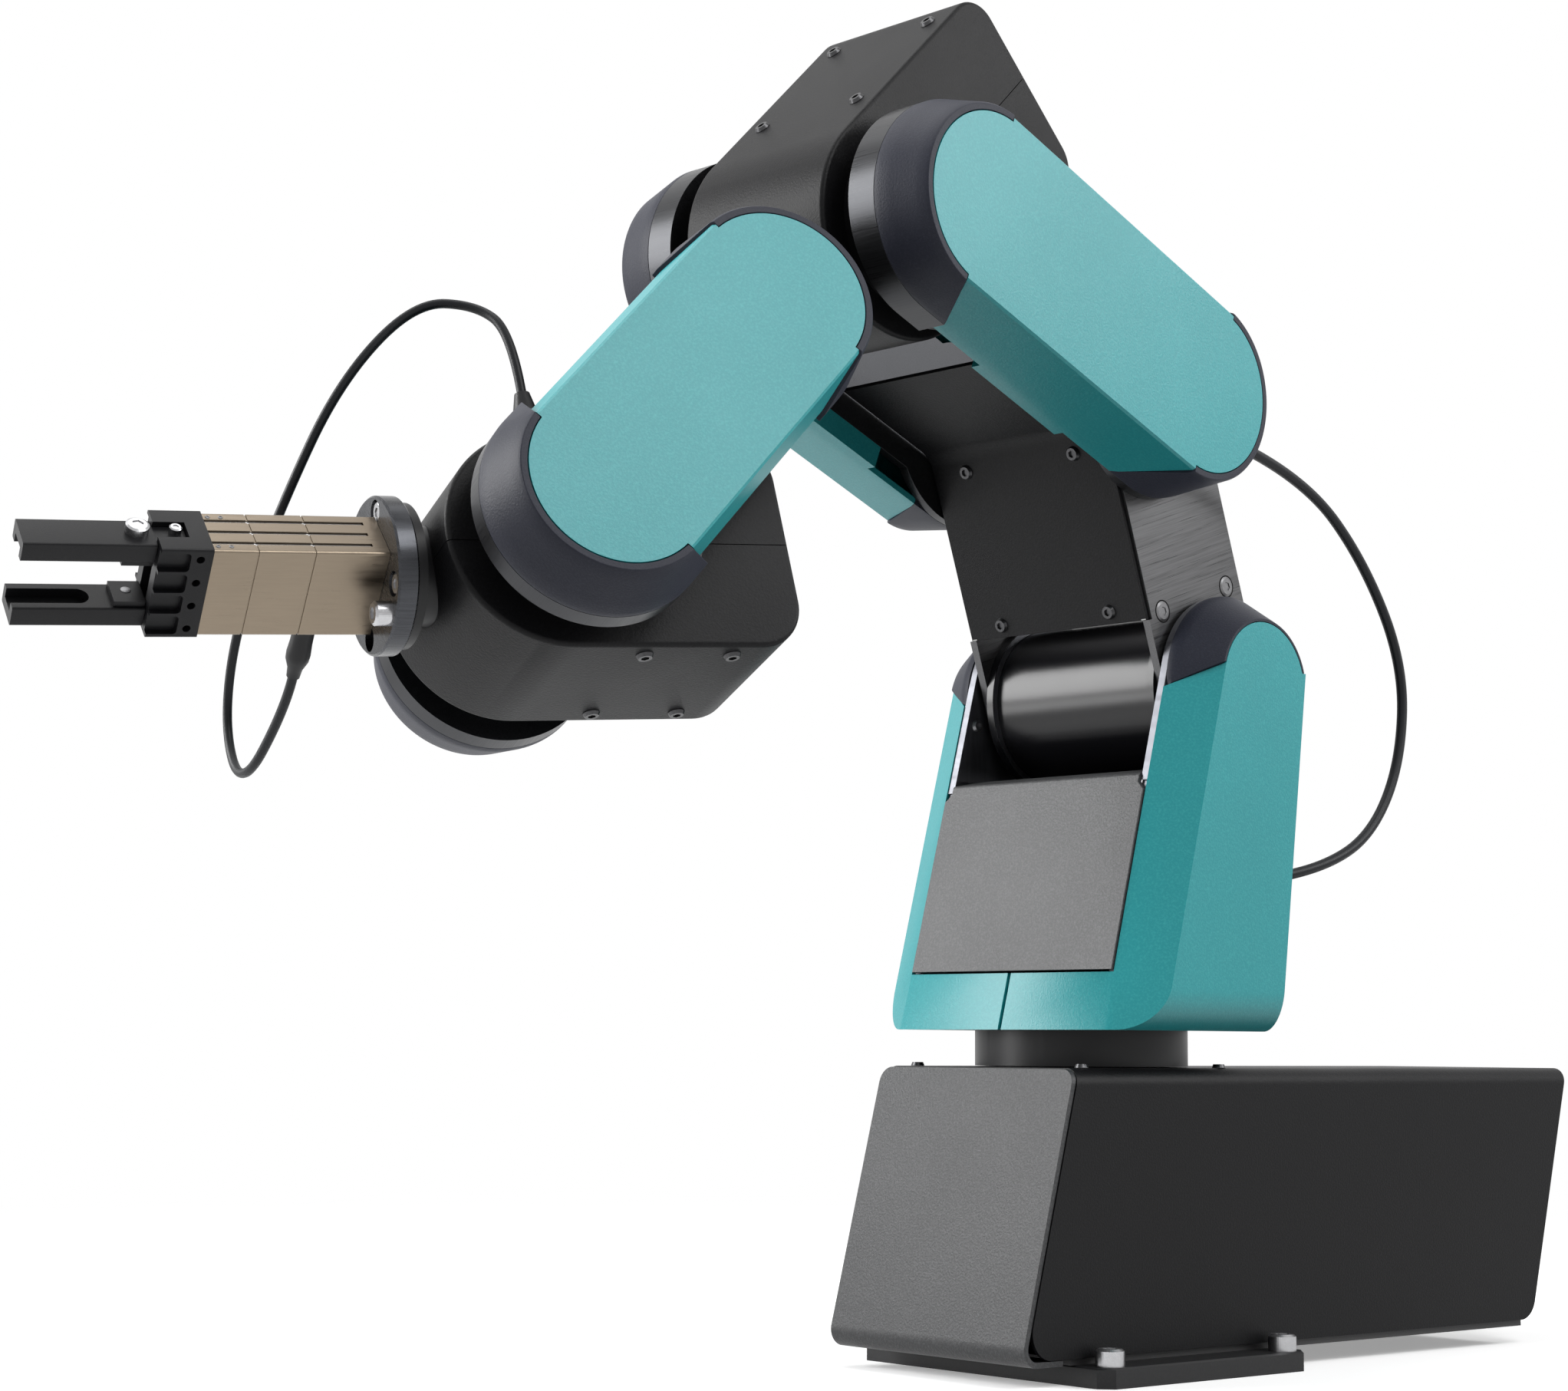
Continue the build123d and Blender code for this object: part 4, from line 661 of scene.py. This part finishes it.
def screws(name, body, link_frame, local, direction, size, coat="screw_black"):
    """Socket screws at points of a link. Size is (head r, skirt, cap height, pocket r) in mm."""
    head, skirt, height, hexagon = (v * MM for v in size)
    look = (link_frame.to_3x3() @ Vector(direction)).normalized()
    settings = {
        "Head radius": head, "Skirt": skirt, "Head height": height,
        "Top radius": head * CAP_TAPER, "Pocket radius": hexagon,
        "Pocket depth": height * POCKET_SHARE, "Finish": COAT[coat],
    }
    spots = [link_frame @ Vector(p) for p in local]
    return from_tree(name, screw, spots, [look] * len(spots), settings, body)


# %% Seats of the screws in millimetres, a little above the face they sit on
BASE_TOP = 138.05
BASE_PLATE_TOP = 9.0
ARM_COVER_FACE = -36.45
ELBOW_COVER_FACE = 51.05
WRIST_COVER_FACE = -47.05
ARM_PLATE_FACE = 56.0
ARM_PLATE_SCREW = (45.5, 25.6)
COLUMN_PLATE_FACE = -57.9
ADAPTER_FACE = -3.6
ADAPTER_CIRCLE = 25.0
ADAPTER_TURNS = [math.radians(30 + 90 * k) for k in (0, 1, 3)]
GRIPPER_TOP = 20.0
COVER_SCREW = (3.6, 0.2, 1.4, 1.8)
BASE_SCREW = (3.2, 0.2, 1.5, 1.5)
ARM_PLATE_HEAD = (4.7, 0.1, 0.5, 2.2)
COLUMN_PLATE_HEAD = (3.4, 0.2, 1.4, 1.7)
MOUNTING_BOLT = (6.5, 6.6, 1.0, 3.4)
ADAPTER_SCREW = (4.6, 2.4, 0.6, 2.1)
CLAMP_SCREW = (4.9, 6.0, 0.9, 2.6)
FINGER_SCREW = (4.5, 3.0, 0.5, 2.4)
BASE_JAW_SCREW = (2.4, 2.6, 0.4, 1.2)
GRIPPER_PIN = (0.95, 0.05, 0.2, 0.55)

# %% Screws of the covers, the base and the tool
made = screws(
    "base_cover_screws", "base", BASE,
    [(x, y, BASE_TOP) for x in (55.0, -36.0) for y in (-54, 54)], (0, 0, 1), BASE_SCREW)
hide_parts("base_screws")
made = screws(
    "arm_cover_screws", "lower_arm", ARM,
    [(x, y, ARM_COVER_FACE) for x in (50.0, 126.0) for y in (-33.5, 33.5)], (0, 0, -1),
    COVER_SCREW)
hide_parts("arm_screws")
made = screws(
    "elbow_cover_screws", "elbow", ELBOW,
    [(x, y, ELBOW_COVER_FACE) for x in (-92.6, -27.8) for y in (-29.8, 29.8)], (0, 0, 1),
    COVER_SCREW)
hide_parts("elbow_screws")
made = screws(
    "wrist_cover_screws", "wrist", WRIST,
    [(x, y, WRIST_COVER_FACE) for x in (-26.7, -64.9) for y in (-29.1, 29.1)], (0, 0, -1),
    COVER_SCREW)
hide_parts("wrist_screws")
for name, side in (("left", 1), ("right", -1)):
    screws(
        "arm_plate_screws_" + name, "lower_arm", ARM,
        [(ARM_PLATE_SCREW[0], side * ARM_PLATE_FACE, w * ARM_PLATE_SCREW[1]) for w in (-1, 1)],
        (0, side, 0), ARM_PLATE_HEAD, "screw_grey")
screws(
    "column_plate_screws", "column", COLUMN,
    [(8.9, COLUMN_PLATE_FACE, 303.0), (-58.0, COLUMN_PLATE_FACE, 290.0)],
    (0, 1, 0), COLUMN_PLATE_HEAD, "screw_grey")
screws(
    "mounting_screws", "base", BASE,
    [(x, y, BASE_PLATE_TOP) for x in (-57.0, 57.0) for y in (-72.5, 72.5)], (0, 0, 1),
    MOUNTING_BOLT, "screw_bright")
screws(
    "adapter_screws", "tool", TOOL,
    [(ADAPTER_FACE, ADAPTER_CIRCLE * math.cos(a), ADAPTER_CIRCLE * math.sin(a))
     for a in ADAPTER_TURNS],
    (1, 0, 0), ADAPTER_SCREW, "screw_bright")
screws(
    "adapter_clamp_screw", "tool", TOOL, [(0.0, 0.5, -24.8)], (1, 0, 0), CLAMP_SCREW,
    "screw_bright")
screws(
    "finger_screw", "jaw_upper", TOOL, [(96.2, 19.0, 1.0)], (0, 1, 0), FINGER_SCREW,
    "screw_bright")
screws(
    "base_jaw_screw", "jaw_upper", TOOL, [(81.6, 18.5, 1.0)], (0, 1, 0), BASE_JAW_SCREW,
    "screw_bright")
screws(
    "gripper_pins", "tool", TOOL,
    [(x, GRIPPER_TOP, z) for x in (62.3, 67.4) for z in (-9.4, 9.4)],
    (0, 1, 0), GRIPPER_PIN, "screw_grey")
print("screw sets are in place")

# %% [markdown]
# ## Turned fittings and small blocks
# What is left is small. The gripper's plug has a knurled nut over a tapered sleeve, the
# drum has bright faces inside its rims, and each finger pad holds a nut. Round pieces are
# turned from a profile, and blocks are boxes with a narrow bevel.

# %% Helpers for turned pieces and blocks
def finish_piece(name, shape, coat, body):
    """Turns a bmesh into a piece with its finish, on the body that carries it."""
    mesh = bpy.data.meshes.new(name)
    bmesh.ops.recalc_face_normals(shape, faces=shape.faces)
    shape.to_mesh(mesh)
    shape.free()
    mesh.shade_smooth()
    mesh.set_sharp_from_angle(angle=SHARP_ANGLE)
    mesh.materials.append(COAT[coat])
    made = bpy.data.objects.new(name, mesh)
    bpy.context.scene.collection.objects.link(made)
    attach(made, body)
    return made


KNURL_DEPTH = 0.035
TURNED_SIDES = 48


def lathe(name, link_frame, starts, axis, profile, coat, body, knurls=0, loop=False):
    """Pieces turned about an axis of a link, from (radius, height) points in millimetres."""
    sides = 4 * knurls or TURNED_SIDES
    along = Vector(axis).normalized()
    out = along.orthogonal().normalized()
    third = along.cross(out)
    shape = bmesh.new()
    for start in starts:
        rings = []
        for radius, height in profile:
            ring = []
            for k in range(sides):
                a = 2 * math.pi * k / sides
                r = radius * (1 - KNURL_DEPTH * (k % 4 > 1)) if knurls else radius
                spoke = (out * math.cos(a) + third * math.sin(a)) * r
                spot = Vector(start) + along * height + spoke
                ring.append(shape.verts.new(link_frame @ spot))
            rings.append(ring)
        pairs = list(zip(rings, rings[1:]))
        if loop:
            pairs.append((rings[-1], rings[0]))
        else:
            shape.faces.new(rings[0])
            shape.faces.new(rings[-1])
        for low_ring, high_ring in pairs:
            for k in range(sides):
                n = (k + 1) % sides
                shape.faces.new((low_ring[k], low_ring[n], high_ring[n], high_ring[k]))
    return finish_piece(name, shape, coat, body)


def blocks(name, link_frame, boxes, coat, body, bevel=0.1):
    """Boxes given by their two corners in millimetres, with a narrow bevel."""
    shape = bmesh.new()
    for low_corner, high_corner in boxes:
        a, b = Vector(low_corner), Vector(high_corner)
        scale = Matrix.Diagonal((*(b - a), 1))
        bmesh.ops.create_cube(
            shape, size=1, matrix=link_frame @ Matrix.Translation((a + b) / 2) @ scale)
    bmesh.ops.bevel(shape, geom=shape.edges[:], offset=bevel * MM, segments=1, affect="EDGES")
    return finish_piece(name, shape, coat, body)


# %% Fittings of the gripper
PLUG_X, GRIPPER_UNDERSIDE = 22.5, -20.1
NUT_PROFILE = [(4.1, 0), (4.5, 0.3), (4.5, 4.1), (4.1, 4.4)]
SLEEVE_GAP = 0.1
SLEEVE_PROFILE = [
    (4.0, 0), (4.4, 0.4), (4.5, 8.0), (4.9, 13.5), (4.7, 16.5), (3.1, 21.0), (2.7, 25.2),
]
GROOVE_WIDTH, GROOVE_START, GROOVE_END = 1.4, 6.4, 69.0
GROOVE_LOW, GROOVE_HIGH = 18.85, 19.35
PAD_NUT_X, PAD_NUT_Y, PAD_NUT_Z = 96.0, 8.4, 0.8
PAD_NUT_PROFILE = [(2.0, -0.3), (2.0, 0.1), (1.6, 0.25)]

lathe(
    "plug_nut", TOOL, [(PLUG_X, GRIPPER_UNDERSIDE, 0)], (0, -1, 0), NUT_PROFILE,
    "brass_nut", "tool", knurls=18)
sleeve_top = GRIPPER_UNDERSIDE - NUT_PROFILE[-1][1] - SLEEVE_GAP
plug = lathe(
    "plug_sleeve", TOOL, [(PLUG_X, sleeve_top, 0)], (0, -1, 0), SLEEVE_PROFILE,
    "moulded_black", "tool")
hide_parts("gripper_connector")
grooves = [
    ((GROOVE_START, GROOVE_LOW, z - GROOVE_WIDTH / 2),
     (GROOVE_END, GROOVE_HIGH, z + GROOVE_WIDTH / 2)) for z in (-7, 0, 7)
]
blocks("gripper_lines", TOOL, grooves, "screw_bright", "tool", 0.05)
for name, side in (("lower", -1), ("upper", 1)):
    lathe(
        "pad_nut_" + name, TOOL, [(PAD_NUT_X, side * PAD_NUT_Y, PAD_NUT_Z)], (0, -side, 0),
        PAD_NUT_PROFILE, "screw_grey", "jaw_" + name)

# %% Bright rims of the drum, shadow rings of the plate screws and painted light in the notches of the arm cover
DRUM_RIM = [(38.3, 0), (41.2, 0), (41.2, 0.1), (38.3, 0.1)]
SCREW_SHADOW = [(4.8, 0), (5.4, 0), (5.4, 0.06), (4.8, 0.06)]
COVER_EDGE = 52.6
SOCKET_X, SOCKET_Z = -275.9, 92.0
SOCKET_LEAN = -0.2638     # the rear panel's slope
SOCKET_PROFILE = [
    (6.4, -3.0), (6.4, 0.2), (8.2, 0.2), (8.2, 1.6), (7.4, 2.4), (4.8, 2.4), (4.8, -1.5),
]

lathe(
    "drum_rims", ARM, [(0, -47.9, 0), (0, 47.8, 0)], (0, 1, 0), DRUM_RIM,
    "silver_plate", "lower_arm", loop=True)
for name, side in (("left", 1), ("right", -1)):
    lathe(
        "plate_screw_rings_" + name, ARM,
        [(ARM_PLATE_SCREW[0], side * ARM_PLATE_FACE, w * ARM_PLATE_SCREW[1]) for w in (-1, 1)],
        (0, side, 0), SCREW_SHADOW, "shadow_gap", "lower_arm", loop=True)
# Painted light: thin white blocks at the arm cover's lower corners stand in for light showing
# through its notches.
blocks(
    "cover_notch_painted_light", ARM,
    [((44.2, y - 1.3, -36.5), (44.7, y + 1.3, -36.3)) for y in (-COVER_EDGE, COVER_EDGE)],
    "notch_painted_light", "lower_arm", 0.02)
lathe(
    "rear_sockets", BASE, [(SOCKET_X, y, SOCKET_Z) for y in (24.0, 44.0)],
    (-1, 0, SOCKET_LEAN), SOCKET_PROFILE, "screw_grey", "base")
print("fittings are in place")

# %% [markdown]
# ## Light, floor and background
# The photograph has an even white background and broad soft lamps at both sides. The front
# softbox stands at the camera's left and lights what faces forward. The small low softbox
# near it gives the column's lower front its pale sheen. The side softbox lights the long
# sides. The high softbox gives the tilted forearm its sheen, and the overhead lamp keeps the
# tops clear. The white behind the arm is the world as the camera sees it, so no light is
# wasted on it and dark coats stay dark.

# %% Lamps
def lamp(name, place, target, size, power):
    """A rectangular softbox in metres and watts, aimed at a point."""
    data = bpy.data.lights.new(name, "AREA")
    data.shape = "RECTANGLE"
    data.size, data.size_y = size
    data.energy = power
    item = bpy.data.objects.new(name, data)
    item.location = place
    item.rotation_mode = "QUATERNION"
    item.rotation_quaternion = (Vector(target) - Vector(place)).to_track_quat("-Z", "Y")
    bpy.context.scene.collection.objects.link(item)


lamp("front_softbox", (1.40, -1.15, 1.00), (0.05, 0, 0.25), (0.9, 1.0), 36)
lamp("side_softbox", (-1.25, 1.5, 1.3), (0.15, 0, 0.45), (1.0, 0.9), 23)
lamp("high_softbox", (0.0, 1.5, 1.9), (0.2, 0, 0.4), (1.0, 1.0), 21)
lamp("low_softbox", (1.40, -1.02, 0.22), (0.08, 0, 0.17), (0.45, 0.3), 3.5)
lamp("overhead", (0.5, -0.4, 2.1), (0.1, 0, 0.3), (1.2, 1.2), 11)

# %% World: white where the camera or a reflection sees it, and a weak fill for the rest
WORLD_FILL = 0.24

world = bpy.data.worlds.new("studio")
bpy.context.scene.world = world
world.use_nodes = True
tree = world.node_tree
tree.nodes.clear()
path = tree.nodes.new("ShaderNodeLightPath")
rays = path.outputs
seen = math_node(tree, "MAXIMUM", rays["Is Camera Ray"], rays["Is Transmission Ray"])
seen = math_node(tree, "MAXIMUM", seen, rays["Is Glossy Ray"])
backdrop = tree.nodes.new("ShaderNodeBackground")
fill = tree.nodes.new("ShaderNodeBackground")
for ground, strength in ((backdrop, 1.0), (fill, WORLD_FILL)):
    ground.inputs["Color"].default_value = (1, 1, 1, 1)
    ground.inputs["Strength"].default_value = strength
choose = tree.nodes.new("ShaderNodeMixShader")
out = tree.nodes.new("ShaderNodeOutputWorld")
link(tree, (seen, choose.inputs[0]), (fill.outputs[0], choose.inputs[1]),
     (backdrop.outputs[0], choose.inputs[2]), (choose.outputs[0], out.inputs[0]))

# %% Floor: paper that keeps the shadow near the arm and fades to white further out
FLOOR_REACH = 9.0
FADE_START, FADE_END = 0.45, 1.5
PAPER_WHITE, PAPER_GLOW = 0.97, 0.3
BOUNCE_GREY = 0.25        # what diffuse rays see, so that the floor throws little light up

corners = [(x * FLOOR_REACH, y * FLOOR_REACH, 0) for x, y in ((-1, -1), (1, -1), (1, 1), (-1, 1))]
floor_mesh = bpy.data.meshes.new("floor")
floor_mesh.from_pydata(corners, [], [(0, 1, 2, 3)])
floor = bpy.data.objects.new("floor", floor_mesh)
bpy.context.scene.collection.objects.link(floor)
paper = bpy.data.materials.new("floor_paper")
paper.use_nodes = True
tree = paper.node_tree
paper_shader = tree.nodes["Principled BSDF"]
paper_shader.inputs["Base Color"].default_value = (PAPER_WHITE, PAPER_WHITE, PAPER_WHITE, 1)
paper_shader.inputs["Roughness"].default_value = 0.9
paper_shader.inputs["Specular IOR Level"].default_value = 0.1
paper_shader.inputs["Emission Color"].default_value = (1, 1, 1, 1)
paper_shader.inputs["Emission Strength"].default_value = PAPER_GLOW
glow = tree.nodes.new("ShaderNodeEmission")
dull = tree.nodes.new("ShaderNodeBsdfDiffuse")
dull.inputs["Color"].default_value = (BOUNCE_GREY, BOUNCE_GREY, BOUNCE_GREY, 1)
reach = tree.nodes.new("ShaderNodeVectorMath")
reach.operation = "LENGTH"
fade = tree.nodes.new("ShaderNodeMapRange")
fade.interpolation_type = "SMOOTHSTEP"
fade.inputs["From Min"].default_value = FADE_START
fade.inputs["From Max"].default_value = FADE_END
blend = tree.nodes.new("ShaderNodeMixShader")
path = tree.nodes.new("ShaderNodeLightPath")
bounce = math_node(tree, "GREATER_THAN", path.outputs["Is Diffuse Ray"], 0.5)
split = tree.nodes.new("ShaderNodeMixShader")
link(
    tree, (tree.nodes.new("ShaderNodeTexCoord").outputs["Object"], reach.inputs[0]),
    (reach.outputs["Value"], fade.inputs["Value"]), (fade.outputs["Result"], blend.inputs[0]),
    (paper_shader.outputs[0], blend.inputs[1]), (glow.outputs[0], blend.inputs[2]),
    (bounce, split.inputs[0]), (blend.outputs[0], split.inputs[1]),
    (dull.outputs[0], split.inputs[2]),
    (split.outputs[0], tree.nodes["Material Output"].inputs["Surface"]),
)
floor_mesh.materials.append(paper)
bpy.context.scene.view_settings.view_transform = "Standard"
